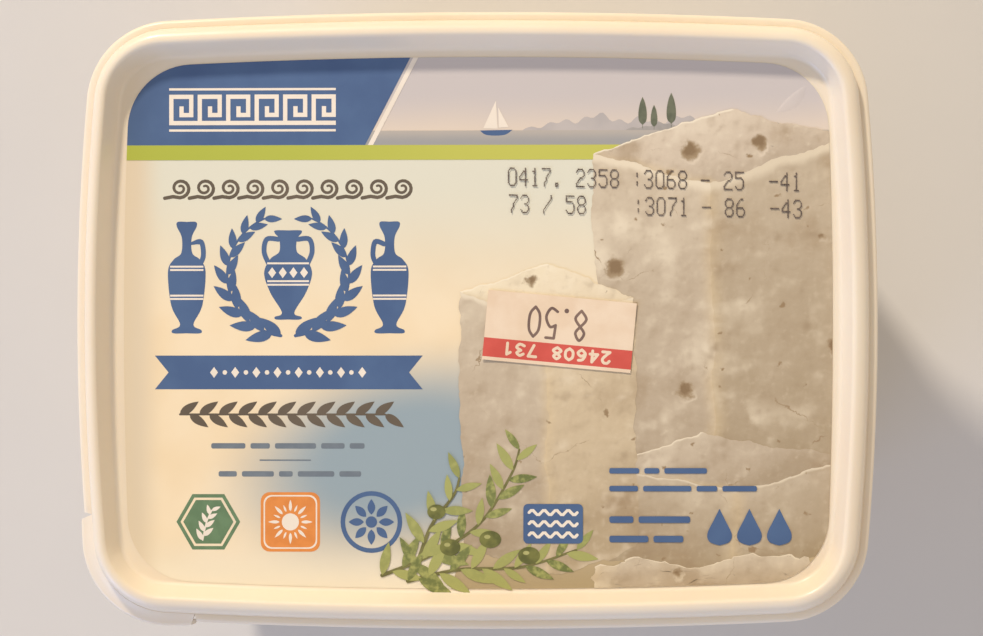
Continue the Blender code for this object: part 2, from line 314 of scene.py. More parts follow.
def quarter_ring(outline, corner_steps, side_steps):
    """Points of the +X +Y quarter of an outline, up to just before the +Y side's middle."""
    end_centre = Vector((outline.half_length - outline.end_bow, 0.0))
    side_centre = Vector((0.0, outline.half_width - outline.side_bow))
    corner = corner_centre(outline, end_centre, side_centre)
    end_turn = atan2(corner.y - end_centre.y, corner.x - end_centre.x)
    side_turn = atan2(corner.y - side_centre.y, corner.x - side_centre.x)
    corner_length = outline.corner_radius * (side_turn - end_turn)
    tab_start = TAB_REACH - NOTCH_LIP
    tab_length = corner_length + 2 * tab_start
    points = []

    def add(centre, radius, turn, distance):
        outward = Vector((cos(turn), sin(turn)))
        points.append(RingPoint(centre + radius * outward, outward, tab_share(distance, tab_length)))

    def distances(half_side):
        far = TAB_REACH + NOTCH_LIP
        near = [TAB_REACH * share for share in (0.25, 0.5, 0.75)] + [tab_start, far]
        return near + [far + (half_side - far) * step / side_steps for step in range(1, side_steps + 1)]

    for back in reversed(distances(outline.end_bow * end_turn)):
        add(end_centre, outline.end_bow, end_turn - back / outline.end_bow, tab_start - back)
    for step in range(corner_steps + 1):
        turn = end_turn + (side_turn - end_turn) * step / corner_steps
        add(corner, outline.corner_radius, turn, tab_start + outline.corner_radius * (turn - end_turn))
    for ahead in distances(outline.side_bow * (pi / 2 - side_turn))[:-1]:
        turn = side_turn + ahead / outline.side_bow
        add(side_centre, outline.side_bow, turn, tab_start + corner_length + ahead)
    return points


quarter = quarter_ring(LID_OUTLINE, CORNER_STEPS, SIDE_STEPS)
print("a quarter of the outline has", len(quarter), "points")


# %% Whole outline
def whole_ring(outline, corner_steps=CORNER_STEPS, side_steps=SIDE_STEPS):
    """All points of an outline, anticlockwise from the middle of the +X end, with one lift tab."""
    quarter = quarter_ring(outline, corner_steps, side_steps)
    back = [RingPoint(Vector((0.0, outline.half_width)), Vector((0.0, 1.0)), 0.0)] + quarter[:0:-1]
    ring = []
    for points, sign_x, sign_y in ((quarter, 1, 1), (back, -1, 1), (quarter, -1, -1), (back, 1, -1)):
        has_tab = sign_x < 0 and sign_y < 0
        for point in points:
            place = Vector((point.place.x * sign_x, point.place.y * sign_y))
            outward = Vector((point.outward.x * sign_x, point.outward.y * sign_y))
            ring.append(RingPoint(place, outward, point.tab_share if has_tab else 0.0))
    return ring


lid_ring = whole_ring(LID_OUTLINE)
print("lid outline has", len(lid_ring), "points")

# %% [markdown]
# Lid in section
#
# Cut across, the rim goes up from the skirt over a narrow ledge and a wide round shoulder to the
# crown, and down a steep slope to the panel. Every bend has the radius that the mould's cutter
# left, and those radii catch the light, so the section is drawn with arcs. A hairline groove runs
# where the ledge meets the shoulder. The inside runs back at the wall's thickness, which makes the
# lid a closed skin and not a sheet of paper. In the photo the recess reaches a little further to
# the left than to the right, so its left half is stretched, and the shoulder there is narrower.

# %% Sizes of the section
LID_WALL = 0.8 * MM
SKIRT_DRAFT = 0.15 * MM
SKIRT_FOOT_Z = CROWN_Z - 8.6 * MM
SKIRT_FOOT_RADIUS = 0.3 * MM
LEDGE_Z = CROWN_Z - 3.1 * MM
LEDGE_EDGE_RADIUS = 0.7 * MM
GROOVE_DEPTH = 0.07 * MM
GROOVE_RADIUS = 0.12 * MM
GROOVE_TO_LEDGE = 2.2 * GROOVE_RADIUS
LEDGE_TAB_SHARE = 0.3
SHOULDER_INSET = 1.9 * MM
SHOULDER_RADIUS = 2.1 * MM
CROWN_EDGE_RADIUS = 0.9 * MM
CROWN_EDGE_INSET = SHOULDER_INSET + SHOULDER_RADIUS + 0.05 * MM
RECESS_SLOPE = radians(70)
RECESS_FOOT_RADIUS = 1.0 * MM
FLAT_MARGIN = 0.6 * MM
RECESS_STRETCH = 0.62 * MM
HALF_TURN = pi
RIGHT_ANGLE = pi / 2
SectionPoint = namedtuple("SectionPoint", "inset height skirt_share")

# The inset at which the sloping wall of the recess has become the flat panel.
bend_radii = CROWN_EDGE_RADIUS + RECESS_FOOT_RADIUS
slope_run = (RECESS_DEPTH - bend_radii * (1 - cos(RECESS_SLOPE))) / tan(RECESS_SLOPE)
FOOT_INSET = CROWN_EDGE_INSET + bend_radii * sin(RECESS_SLOPE) + slope_run
print("the flat panel starts", round(FOOT_INSET / MM, 2), "mm in")


# %% Section of the lid
def arc(centre_inset, centre_height, radius, start, end, steps, share=0.0):
    """Points of an arc in section, with angles in radians from straight up towards the middle."""
    turns = [start + (end - start) * step / steps for step in range(steps + 1)]
    return [
        SectionPoint(centre_inset + radius * sin(turn), centre_height + radius * cos(turn), share)
        for turn in turns
    ]


def lid_section():
    """The lid's skin in section, from the panel out over the rim, down the skirt and back inside."""
    centre = SHOULDER_INSET + SHOULDER_RADIUS
    crown_centre = CROWN_Z - CROWN_EDGE_RADIUS
    shoulder_centre = CROWN_Z - SHOULDER_RADIUS
    foot_centre = PANEL_Z + RECESS_FOOT_RADIUS
    groove = SHOULDER_INSET - SKIRT_DRAFT - GROOVE_RADIUS
    edge = SKIRT_DRAFT + LEDGE_EDGE_RADIUS
    lip = SKIRT_FOOT_RADIUS
    slope = HALF_TURN + RECESS_SLOPE
    points = [SectionPoint(FOOT_INSET + FLAT_MARGIN, PANEL_Z, 0.0)]
    points += arc(FOOT_INSET, foot_centre, RECESS_FOOT_RADIUS, HALF_TURN, slope, 7)
    points += arc(CROWN_EDGE_INSET, crown_centre, CROWN_EDGE_RADIUS, RECESS_SLOPE, 0.0, 8)
    points += arc(centre, shoulder_centre, SHOULDER_RADIUS, 0.0, -RIGHT_ANGLE, 12)
    groove_centre = LEDGE_Z + GROOVE_RADIUS - GROOVE_DEPTH
    points += arc(groove, groove_centre, GROOVE_RADIUS, RIGHT_ANGLE, 1.25 * HALF_TURN, 4)
    points.append(SectionPoint(groove - GROOVE_TO_LEDGE, LEDGE_Z, LEDGE_TAB_SHARE))
    points += arc(edge, LEDGE_Z - LEDGE_EDGE_RADIUS, LEDGE_EDGE_RADIUS, 0.0, -RIGHT_ANGLE, 7, 1.0)
    points += arc(lip, SKIRT_FOOT_Z + lip, lip, -RIGHT_ANGLE, -HALF_TURN, 4, 1.0)
    points.append(SectionPoint(LID_WALL, SKIRT_FOOT_Z, 1.0))
    points.append(SectionPoint(LID_WALL + SKIRT_DRAFT, LEDGE_Z - LID_WALL, 1.0))
    points.append(SectionPoint(SHOULDER_INSET + LID_WALL, LEDGE_Z - LID_WALL, 0.0))
    points += arc(centre, shoulder_centre, SHOULDER_RADIUS - LID_WALL, -RIGHT_ANGLE, 0.0, 6)
    points += arc(CROWN_EDGE_INSET, crown_centre, CROWN_EDGE_RADIUS - LID_WALL, 0.0, RECESS_SLOPE, 3)
    points += arc(FOOT_INSET, foot_centre, RECESS_FOOT_RADIUS + LID_WALL, slope, HALF_TURN, 5)
    points.append(SectionPoint(FOOT_INSET + FLAT_MARGIN, PANEL_Z - LID_WALL, 0.0))
    return points


lid_profile = lid_section()
print("lid section has", len(lid_profile), "points")


# %% Stretch of the recess
def recess_stretch(x):
    """How far the recess moves along X at a given X: none in the right half."""
    return min(0.0, x / LID_OUTLINE.half_length) * RECESS_STRETCH


def recess_share(distance):
    """Share of that move by inset: all of it from the crown inwards."""
    return min(1.0, max(0.0, (distance - SHOULDER_INSET) / SHOULDER_RADIUS))


print("stretch at the left end", round(recess_stretch(-LID_HIGH.x) / MM, 2), "mm")

# %% [markdown]
# Geometry Nodes that sweep the section round the outline
#
# The lid follows a rule: the same section at every point of the outline. Curve to Mesh could sweep
# it, but it would guess the directions at the corners. A grid whose rows and columns look up the
# two guides places every corner exactly, and lets the lift tab flare out and droop by its share.
# Two discs with the outline's count of corners close the panel above and below, and a merge joins
# it all into one closed skin. A helper starts a tree with its named inputs, and another runs a tree
# on an object and keeps the result as a plain mesh.

# %% Helpers for Geometry Nodes
MERGE_DISTANCE = 0.005 * MM


def start_tree(name, inputs):
    """A new tree with named inputs, and the outputs of its group input node."""
    tree = bpy.data.node_groups.new(name, "GeometryNodeTree")
    tree.interface.new_socket("Geometry", in_out="INPUT", socket_type="NodeSocketGeometry")
    for label, kind in inputs.items():
        tree.interface.new_socket(label, in_out="INPUT", socket_type="NodeSocket" + kind)
    tree.interface.new_socket("Geometry", in_out="OUTPUT", socket_type="NodeSocketGeometry")
    return tree, add_node(tree, "NodeGroupInput").outputs


def end_tree(tree, result, material):
    """Close a tree: real geometry in place of instances, and one material."""
    realized = add_node(tree, "GeometryNodeRealizeInstances", {"Geometry": result})
    painted = add_node(tree, "GeometryNodeSetMaterial", {"Geometry": realized, "Material": material})
    add_node(tree, "NodeGroupOutput", {"Geometry": painted})


def grow(name, mesh, tree, values):
    """Run a tree on a mesh and keep the result as an object with a plain mesh."""
    source = mesh_object(name + "_source", mesh)
    modifier = source.modifiers.new("nodes", "NODES")
    modifier.node_group = tree
    for item in tree.interface.items_tree:
        if item.in_out == "INPUT" and item.name in values:
            modifier[item.identifier] = values[item.name]
    ready = bpy.context.evaluated_depsgraph_get()
    evaluated = source.evaluated_get(ready)
    result = bpy.data.meshes.new_from_object(evaluated, preserve_all_data_layers=True, depsgraph=ready)
    bpy.data.objects.remove(source, do_unlink=True)
    return mesh_object(name, result)


def guide_mesh(name, places, attributes, edges=()):
    """A mesh of points that a tree reads, with its attributes."""
    mesh = bpy.data.meshes.new(name)
    mesh.from_pydata(places, edges, [])
    for label, (kind, values) in attributes.items():
        layer = mesh.attributes.new(label, kind, "POINT")
        for item, value in zip(layer.data, values):
            setattr(item, "vector" if kind == "FLOAT_VECTOR" else "value", value)
    return mesh


# %% Places on the skin of the lid
def skin_place(tree, given, outline, section, around, along):
    """Where the skin is, for a place round the outline and one along the section."""
    found = {}
    for guide, at, kind, label in (
        (outline, around, "FLOAT_VECTOR", "position"),
        (outline, around, "FLOAT_VECTOR", "outward"),
        (outline, around, "FLOAT_VECTOR", "recess_stretch"),
        (outline, around, "FLOAT", "tab_share"),
        (section, along, "FLOAT_VECTOR", "inset_and_height"),
        (section, along, "FLOAT", "skirt_share"),
        (section, along, "FLOAT", "recess_share"),
    ):
        value = add_node(tree, "GeometryNodeInputNamedAttribute", {"data_type": kind, "Name": label})
        sample = {"data_type": kind, "Geometry": guide, "Value": value, "Index": at}
        found[label] = add_node(tree, "GeometryNodeSampleIndex", sample)
    level = add_node(tree, SEPARATE, {"Vector": found["inset_and_height"]}).outputs
    tab = {"operation": "MULTIPLY", 0: found["tab_share"], 1: found["skirt_share"]}
    share = add_node(tree, MATH, tab)
    flare = add_node(tree, MATH, {"operation": "MULTIPLY", 0: share, 1: given["Tab flare"]})
    droop = add_node(tree, MATH, {"operation": "MULTIPLY", 0: share, 1: given["Tab droop"]})
    reach = add_node(tree, MATH, {"operation": "SUBTRACT", 0: flare, 1: level["X"]})
    height = add_node(tree, MATH, {"operation": "SUBTRACT", 0: level["Z"], 1: droop})
    out = {"operation": "SCALE", "Vector": found["outward"], "Scale": reach}
    pushed = add_node(tree, VECTOR_MATH, out)
    raised = add_node(tree, "ShaderNodeCombineXYZ", {"Z": height})
    move = {"operation": "SCALE", "Vector": found["recess_stretch"], "Scale": found["recess_share"]}
    moved = add_node(tree, VECTOR_MATH, move)
    place = found["position"]
    for shift in (pushed, moved, raised):
        place = add_node(tree, VECTOR_MATH, {"operation": "ADD", 0: place, 1: shift})
    return place


# %% Tree that sweeps the lid
def lid_tree():
    """Sweep a section round an outline, with the recess stretched and the lift tab flared."""
    inputs = {"Outline": "Object", "Section": "Object", "Tab flare": "Float", "Tab droop": "Float"}
    tree, given = start_tree("lid_skin", {**inputs, "Material": "Material"})
    outline = add_node(tree, "GeometryNodeObjectInfo", {"Object": given["Outline"]}).outputs["Geometry"]
    section = add_node(tree, "GeometryNodeObjectInfo", {"Object": given["Section"]}).outputs["Geometry"]
    around_count = add_node(tree, "GeometryNodeAttributeDomainSize", {"Geometry": outline})
    along_count = add_node(tree, "GeometryNodeAttributeDomainSize", {"Geometry": section})
    index = add_node(tree, "GeometryNodeInputIndex")
    closing = add_node(tree, MATH, {"operation": "ADD", 0: around_count, 1: 1.0})
    counts = {"Vertices X": closing, "Vertices Y": along_count}
    grid = add_node(tree, "GeometryNodeMeshGrid", counts)
    columns = add_node(tree, MATH, {"operation": "DIVIDE", 0: index, 1: along_count})
    column = add_node(tree, MATH, {"operation": "FLOOR", 0: columns})
    around = add_node(tree, MATH, {"operation": "MODULO", 0: column, 1: around_count})
    along = add_node(tree, MATH, {"operation": "MODULO", 0: index, 1: along_count})
    sources = (tree, given, outline, section)
    skin = {"Geometry": grid, "Position": skin_place(*sources, around, along)}
    parts = [add_node(tree, "GeometryNodeSetPosition", skin)]
    disc = add_node(tree, "GeometryNodeMeshCircle", {"fill_type": "NGON", "Vertices": around_count})
    first = add_node(tree, MATH, {"operation": "MULTIPLY", 0: index, 1: 0.0})
    last = add_node(tree, MATH, {"operation": "SUBTRACT", 0: along_count, 1: 1.0})
    for step in (first, last):
        cap = {"Geometry": disc, "Position": skin_place(*sources, index, step)}
        parts.append(add_node(tree, "GeometryNodeSetPosition", cap))
    joined = add_node(tree, "GeometryNodeJoinGeometry", {"Geometry": parts})
    merged = add_node(tree, "GeometryNodeMergeByDistance", {"Distance": MERGE_DISTANCE, "Geometry": joined})
    end_tree(tree, merged, given["Material"])
    return tree


LID_TREE = lid_tree()
print("the lid's tree has", len(LID_TREE.nodes), "nodes")

# %% [markdown]
# Moulded polypropylene
#
# The lid and the tub are injection moulded polypropylene, coloured cream. The material is a little
# milky, so some light goes in and comes out softened, and its skin is satin: the steel of the mould
# was spark eroded, which leaves a grain of about 0.15 mm, drawn here at twice that so it shows.
# Its peaks are worn smooth, which gives a thin gloss over the satin and small glints on the bends.
# The colour is even, with only faint clouds where the melt flowed, and handling adds fine scuffs.

# %% Material of the lid and the tub
def moulded_polypropylene(name, colour, cloud_colour):
    """Satin cream polypropylene with mould grain, flow clouds and handling scuffs."""
    constants = {
        "IOR": 1.49,
        "Subsurface Weight": 0.12,
        "Subsurface Radius": (1.0, 0.8, 0.55),
        "Subsurface Scale": 1.2 * MM,
        "Coat Weight": 0.2,
        "Coat Roughness": 0.16,
    }
    material, tree, shader, place = start_material(name, constants)
    flow = add_node(tree, NOISE, {"Scale": 1 / (38 * MM), "Detail": 3.0, "Roughness": 0.6, "Vector": place})
    clouds = add_node(tree, MAP_RANGE, {"Value": flow, "From Min": 0.35, "From Max": 0.7})
    mixed = {"data_type": "RGBA", "Factor": clouds, "A": colour, "B": cloud_colour}
    connect(tree, add_node(tree, MIX, mixed), shader.inputs["Base Color"])
    scuffs = {"Scale": 1 / (4 * MM), "Detail": 6.0, "Roughness": 0.75, "Vector": place}
    scuffs = add_node(tree, NOISE, scuffs)
    satin = {"Value": scuffs, "From Min": 0.3, "From Max": 0.75, "To Min": 0.36, "To Max": 0.54}
    connect(tree, add_node(tree, MAP_RANGE, satin), shader.inputs["Roughness"])
    grain = add_node(tree, NOISE, {"Scale": 1 / (0.3 * MM), "Detail": 2.0, "Vector": place})
    relief = {"Strength": 0.12, "Distance": 0.02 * MM, "Height": grain}
    connect(tree, add_node(tree, "ShaderNodeBump", relief), shader.inputs["Normal"])
    return material


lid_plastic = moulded_polypropylene("cream_moulded_polypropylene_lid", "F0E5D0", "EEE0C9")
tub_plastic = moulded_polypropylene("cream_moulded_polypropylene_tub", "EEE2CC", "EBDDC5")
print("materials", lid_plastic.name, tub_plastic.name)

# %% [markdown]
# Lid and lift tab
#
# The tree makes the skin, and two V notches free the tab, as in the real mould. A Boolean cuts
# them, because a notch through a curved wall has edges that no simple rule gives. Both cutters are
# three-sided prisms whose edge points into the skirt.

# %% Notches beside the lift tab
NOTCH_WIDTH = 2.2 * MM
NOTCH_LENGTH = 3.2 * MM
NOTCH_APEX_INSET = 1.6 * MM
NOTCH_TOP_Z = LEDGE_Z + 0.5 * MM
NOTCH_FOOT_Z = SKIRT_FOOT_Z - 2 * MM


def face_outwards(mesh):
    """Turn the faces of a closed skin to point out: returns its open edges and its volume."""
    shape = bmesh.new()
    shape.from_mesh(mesh)
    bmesh.ops.recalc_face_normals(shape, faces=shape.faces)
    open_edges = sum(1 for edge in shape.edges if len(edge.link_faces) != 2)
    volume = shape.calc_volume(signed=True)
    shape.to_mesh(mesh)
    shape.free()
    return open_edges, volume


def notch_places():
    """Places and outward directions of the two notches, where the lift tab ends."""
    lips = [number for number, point in enumerate(quarter) if point.tab_share > 0.0]
    places = []
    for before, after in ((lips[0] - 1, lips[0]), (lips[-1], lips[-1] + 1)):
        place = (quarter[before].place + quarter[after].place) / 2
        outward = (quarter[before].outward + quarter[after].outward).normalized()
        places.append((-place, -outward))
    return places


def notch_cutter(name, place, outward):
    """A three-sided prism whose edge points into the skirt."""
    side = Vector((-outward.y, outward.x)) * NOTCH_WIDTH / 2
    tip = place - outward * NOTCH_APEX_INSET
    mouth = tip + outward * NOTCH_LENGTH
    corners = (tip, mouth - side, mouth + side)
    verts = [(spot.x, spot.y, height) for height in (NOTCH_FOOT_Z, NOTCH_TOP_Z) for spot in corners]
    mesh = bpy.data.meshes.new(name)
    mesh.from_pydata(verts, [], [(0, 2, 1), (3, 4, 5), (0, 1, 4, 3), (1, 2, 5, 4), (2, 0, 3, 5)])
    face_outwards(mesh)
    return mesh_object(name, mesh)


print("notches at", [place for place, outward in notch_places()])

# %% Guides that the lid's tree reads
outward = [(point.outward.x, point.outward.y, 0.0) for point in lid_ring]
stretch = [(recess_stretch(point.place.x), 0.0, 0.0) for point in lid_ring]
outline_attributes = {
    "outward": ("FLOAT_VECTOR", outward),
    "recess_stretch": ("FLOAT_VECTOR", stretch),
    "tab_share": ("FLOAT", [point.tab_share for point in lid_ring]),
}
section_places = [(point.inset, 0.0, point.height) for point in lid_profile]
section_attributes = {
    "inset_and_height": ("FLOAT_VECTOR", section_places),
    "skirt_share": ("FLOAT", [point.skirt_share for point in lid_profile]),
    "recess_share": ("FLOAT", [recess_share(point.inset) for point in lid_profile]),
}
outline_places = [(point.place.x, point.place.y, 0.0) for point in lid_ring]
guides = [
    mesh_object("outline_guide", guide_mesh("outline_guide", outline_places, outline_attributes)),
    mesh_object("section_guide", guide_mesh("section_guide", section_places, section_attributes)),
]
print("guides", [(guide.name, len(guide.data.vertices)) for guide in guides])

# %% Build the lid
lid_values = {
    "Outline": guides[0],
    "Section": guides[1],
    "Tab flare": TAB_FLARE,
    "Tab droop": TAB_DROOP,
    "Material": lid_plastic,
}
lid = grow("lid_moulding", bpy.data.meshes.new("empty"), LID_TREE, lid_values)
print("lid skin: open edges and volume", face_outwards(lid.data))
cutters = [notch_cutter(f"notch_{number}", *spot) for number, spot in enumerate(notch_places(), start=1)]
for cutter in cutters:
    cut = lid.modifiers.new(cutter.name, "BOOLEAN")
    cut.operation = "DIFFERENCE"
    cut.solver = "EXACT"
    cut.object = cutter
ready = bpy.context.evaluated_depsgraph_get()
cut_mesh = bpy.data.meshes.new_from_object(lid.evaluated_get(ready), depsgraph=ready)
lid.modifiers.clear()
lid.data = cut_mesh
for helper in cutters + guides:
    bpy.data.objects.remove(helper, do_unlink=True)
print("lid: open edges and volume", face_outwards(lid.data))
finish_piece(lid, lid_plastic, "lid")

# %% [markdown]
# Tub below the lid
#
# The photo hides the tub, so it is finished plainly, as such tubs are: a drafted body with round
# corners, a neck where the lid's skirt ends, a collar that the skirt stands over, and a foot ring
# round a slightly sunk base. Its rings have different corner radii, so they aren't parallel, and a
# loft through rings of equal counts joins them. A small round gate mark in the middle of the base
# is where the plastic ran into the mould.

# %% Sizes of the tub
COLLAR_TOP_Z = SKIRT_FOOT_Z - 0.5 * MM
COLLAR_FOOT_Z = COLLAR_TOP_Z - 1.2 * MM
COLLAR_INSET = 0.9 * MM
COLLAR_RADIUS = 0.35 * MM
NECK_FOOT_Z = COLLAR_FOOT_Z - 6.5 * MM
NECK_INSET = 4.2 * MM
NECK_FOOT_RADIUS = 0.3 * MM
NECK_FOOT_TURN = (-1.1, -1.5)
BODY_TOP_Z = NECK_FOOT_Z - 1.2 * MM
BODY_TOP_INSET = 5.4 * MM
BODY_CORNER_RADIUS = 12.5 * MM
BODY_EDGE_RADIUS = 0.5 * MM
BASE_INSET = 12.5 * MM
BASE_CORNER_RADIUS = 11.5 * MM
BASE_EDGE_RADIUS = 3.0 * MM
BASE_RECESS = 0.8 * MM
FOOT_WIDTH = 3.5 * MM
FOOT_BEND = ((2 * MM, BASE_RECESS), (0.8 * MM, BASE_RECESS), (0.3 * MM, 0.35 * MM), (0.0, 0.0))
TUB_RIM_Z = CROWN_Z - 1.9 * MM
TUB_RIM_INSETS = (2.95 * MM, 3.4 * MM)
PLAY = 0.3 * MM
TUB_CORNER_STEPS = 18
TUB_SIDE_STEPS = 8
GATE_RADII = (2.2 * MM, 2.6 * MM)
GATE_HEIGHT = 0.35 * MM
GATE_Z = BASE_RECESS - 0.1 * MM
print("the body of the tub is", round(BODY_TOP_Z / MM, 1), "mm high")


# %% Rings of the tub
def tub_rings():
    """Rings of the tub, from the recess in its base over the rim to below the lid's panel."""
    base = inset(LID_OUTLINE, BASE_INSET)._replace(corner_radius=BASE_CORNER_RADIUS)
    body_top = inset(LID_OUTLINE, BODY_TOP_INSET)._replace(corner_radius=BODY_CORNER_RADIUS)
    neck = inset(LID_OUTLINE, NECK_INSET)._replace(corner_radius=BODY_CORNER_RADIUS)
    collar = inset(LID_OUTLINE, COLLAR_INSET)
    foot = BASE_EDGE_RADIUS + FOOT_WIDTH
    levels = [(base, foot + distance, height) for distance, height in FOOT_BEND]
    for outline, radius, height, start, end, steps in (
        (base, BASE_EDGE_RADIUS, BASE_EDGE_RADIUS, -HALF_TURN, -RIGHT_ANGLE, 9),
        (body_top, BODY_EDGE_RADIUS, BODY_TOP_Z - BODY_EDGE_RADIUS, -RIGHT_ANGLE, 0.0, 4),
        (neck, NECK_FOOT_RADIUS, NECK_FOOT_Z + 0.2 * MM, *NECK_FOOT_TURN, 2),
        (collar, COLLAR_RADIUS, COLLAR_FOOT_Z + COLLAR_RADIUS, -HALF_TURN, -RIGHT_ANGLE, 4),
        (collar, COLLAR_RADIUS, COLLAR_TOP_Z - COLLAR_RADIUS, -RIGHT_ANGLE, 0.0, 4),
    ):
        if outline is collar and start == -HALF_TURN:
            levels.append((neck, 0.0, COLLAR_FOOT_Z))
        bend = arc(radius, height, radius, start, end, steps)
        levels += [(outline, spot.inset, spot.height) for spot in bend]
    outer, inner = TUB_RIM_INSETS
    for distance, height in ((outer, COLLAR_TOP_Z), (outer, TUB_RIM_Z), (inner, TUB_RIM_Z)):
        levels.append((LID_OUTLINE, distance, height))
    under = RECESS_FOOT_RADIUS + LID_WALL + PLAY
    turns = (HALF_TURN + RECESS_SLOPE, HALF_TURN)
    for spot in arc(FOOT_INSET, PANEL_Z + RECESS_FOOT_RADIUS, under, *turns, 4):
        levels.append((LID_OUTLINE, spot.inset, spot.height))
    rings = []
    for outline, distance, height in levels:
        stretched = outline is LID_OUTLINE and distance > FOOT_INSET - MM
        ring = whole_ring(inset(outline, distance), TUB_CORNER_STEPS, TUB_SIDE_STEPS)
        places = [point.place for point in ring]
        rings.append([(x + recess_stretch(x) * stretched, y, height) for x, y in places])
    return rings


TUB_RINGS = tub_rings()
print("the tub has", len(TUB_RINGS), "rings")


# %% Build the tub
def loft(rings):
    """A closed mesh through rings of equal counts, capped at both ends."""
    shape = bmesh.new()
    levels = [[shape.verts.new(place) for place in ring] for ring in rings]
    for lower, upper in zip(levels, levels[1:]):
        for number, corner in enumerate(lower):
            following = (number + 1) % len(lower)
            shape.faces.new((corner, lower[following], upper[following], upper[number]))
    shape.faces.new(levels[-1])
    shape.faces.new(reversed(levels[0]))
    return shape


tub_shape = loft(TUB_RINGS)
low, high = GATE_RADII
gate = {"cap_ends": True, "segments": 32, "radius1": low, "radius2": high, "depth": GATE_HEIGHT}
gate = bmesh.ops.create_cone(tub_shape, **gate)
bmesh.ops.translate(tub_shape, verts=gate["verts"], vec=(0.0, 0.0, GATE_Z))
tub_mesh = kept_mesh("tub_moulding", tub_shape)
print("tub: open edges and volume", face_outwards(tub_mesh))
finish_piece(mesh_object("tub_moulding", tub_mesh), tub_plastic, "tub")

# %% [markdown]
# Tools for the print
#
# A pack's print is a handful of inks laid one over the other on a white film. Each field of ink is
# made here as a thin closed plate, a few micrometres above the one it overprints, so the edges of
# the print stay sharp from near and far. All shapes are drawn in millimetres from the middle of the
# panel. A shape is a list of outlines: the first is its edge and the others are its holes. Plates
# of one piece that overlap lie at four slightly different heights, since two surfaces in exactly
# the same place would shade each other black.

# %% Film and ink sizes
FILM_THICKNESS = 0.06 * MM
FILM_GAP = 0.01 * MM
FILM_TOP = PANEL_Z + FILM_GAP + FILM_THICKNESS
INK_STEP = 0.008 * MM
INK_THICKNESS = 0.005 * MM
STAGGER = 0.0015 * MM
STAGGER_COUNT = 4
FILM_CORNER_RADIUS = 11.5 * MM
FILM_END_BOW = 900 * MM
FILM_LOW = LABEL_LOW - Vector((0.65, 0.5, 0.0)) * MM
FILM_HIGH = LABEL_HIGH - Vector((0.33, 0.1, 0.0)) * MM
FILM_MIDDLE = (FILM_LOW + FILM_HIGH) / 2
FILM_HALF = (FILM_HIGH - FILM_LOW) / 2
FILM_OUTLINE = Outline(FILM_HALF.x, FILM_HALF.y, FILM_CORNER_RADIUS, FILM_END_BOW, SIDE_BOW_RADIUS)
print("the film's face is", round((CROWN_Z - FILM_TOP) / MM, 2), "mm deep")


# %% Simple outlines
def on_circle(x, y, radius, turn):
    """The point of a circle at a turn from +X."""
    return x + radius * cos(turn), y + radius * sin(turn)


def polygon(x, y, radius_x, radius_y=None, corners=40):
    """A regular polygon, or with its many corners a circle or an ellipse."""
    radius_y = radius_y or radius_x
    turns = [2 * pi * number / corners for number in range(corners)]
    return [(x + radius_x * cos(turn), y + radius_y * sin(turn)) for turn in turns]


def box_outline(left, bottom, right, top, radius=0.0, steps=5):
    """A rectangle, with round corners if a radius is given."""
    if not radius:
        return [(left, bottom), (right, bottom), (right, top), (left, top)]
    points = []
    for x, y, start in (
        (right - radius, bottom + radius, -0.5),
        (right - radius, top - radius, 0.0),
        (left + radius, top - radius, 0.5),
        (left + radius, bottom + radius, 1.0),
    ):
        turns = [pi * (start + 0.5 * step / steps) for step in range(steps + 1)]
        points += [on_circle(x, y, radius, turn) for turn in turns]
    return points


# %% Curves, strokes and leaves
MITRE_LIMIT = 0.6
CAP_STEPS = 6


def smooth_path(points, steps=6):
    """A Catmull-Rom curve through points, as a denser list."""
    ends = [points[0], *points, points[-1]]
    path = []
    for near in zip(ends, ends[1:], ends[2:], ends[3:]):
        for t in (step / steps for step in range(steps)):
            weights = (-t + 2 * t**2 - t**3, 2 - 5 * t**2 + 3 * t**3, t + 4 * t**2 - 3 * t**3, t**3 - t**2)
            path.append(tuple(sum(w * spot[axis] for w, spot in zip(weights, near)) / 2 for axis in (0, 1)))
    return path + [tuple(points[-1])]


def stroke(points, width, end_width=None):
    """A pen stroke with round ends along a path, as a shape."""
    spots = [Vector(point) for point in points]
    end_width = end_width or width
    left = []
    right = []
    for number, spot in enumerate(spots):
        before = spots[max(number - 1, 0)]
        after = spots[min(number + 1, len(spots) - 1)]
        along = (after - before).normalized()
        half = (width + (end_width - width) * number / (len(spots) - 1)) / 2
        entry = (spot - before).normalized() if number else along
        side = Vector((-along.y, along.x)) * half / max(MITRE_LIMIT, along.dot(entry))
        left.append(tuple(spot + side))
        right.append(tuple(spot - side))
    caps = []
    for spot, inner, size in ((spots[-1], spots[-2], end_width / 2), (spots[0], spots[1], width / 2)):
        start = atan2(spot.y - inner.y, spot.x - inner.x) - pi / 2
        turns = [start + pi * step / CAP_STEPS for step in range(1, CAP_STEPS)]
        caps.append([on_circle(*spot, size, turn) for turn in turns])
    return [right + caps[0] + left[::-1] + caps[1]]


def leaf_outline(length, width, point=0.75, steps=9):
    """A pointed leaf along +X from its foot at the origin."""
    shares = [step / steps for step in range(1, steps)]
    upper = [(length * t, width / 2 * sin(pi * t**point) ** 0.9) for t in shares]
    return [(0.0, 0.0)] + [(x, -y) for x, y in upper] + [(length, 0.0)] + upper[::-1]


def mirrored(x, foot, height, profile):
    """A shape with two like halves, whose half widths and heights are shares of its height."""
    right = [(x + half * height, foot + up * height) for half, up in smooth_path(profile)]
    left = [(2 * x - across, up) for across, up in right[::-1] if abs(across - x) > 0.001]
    return [right + left]


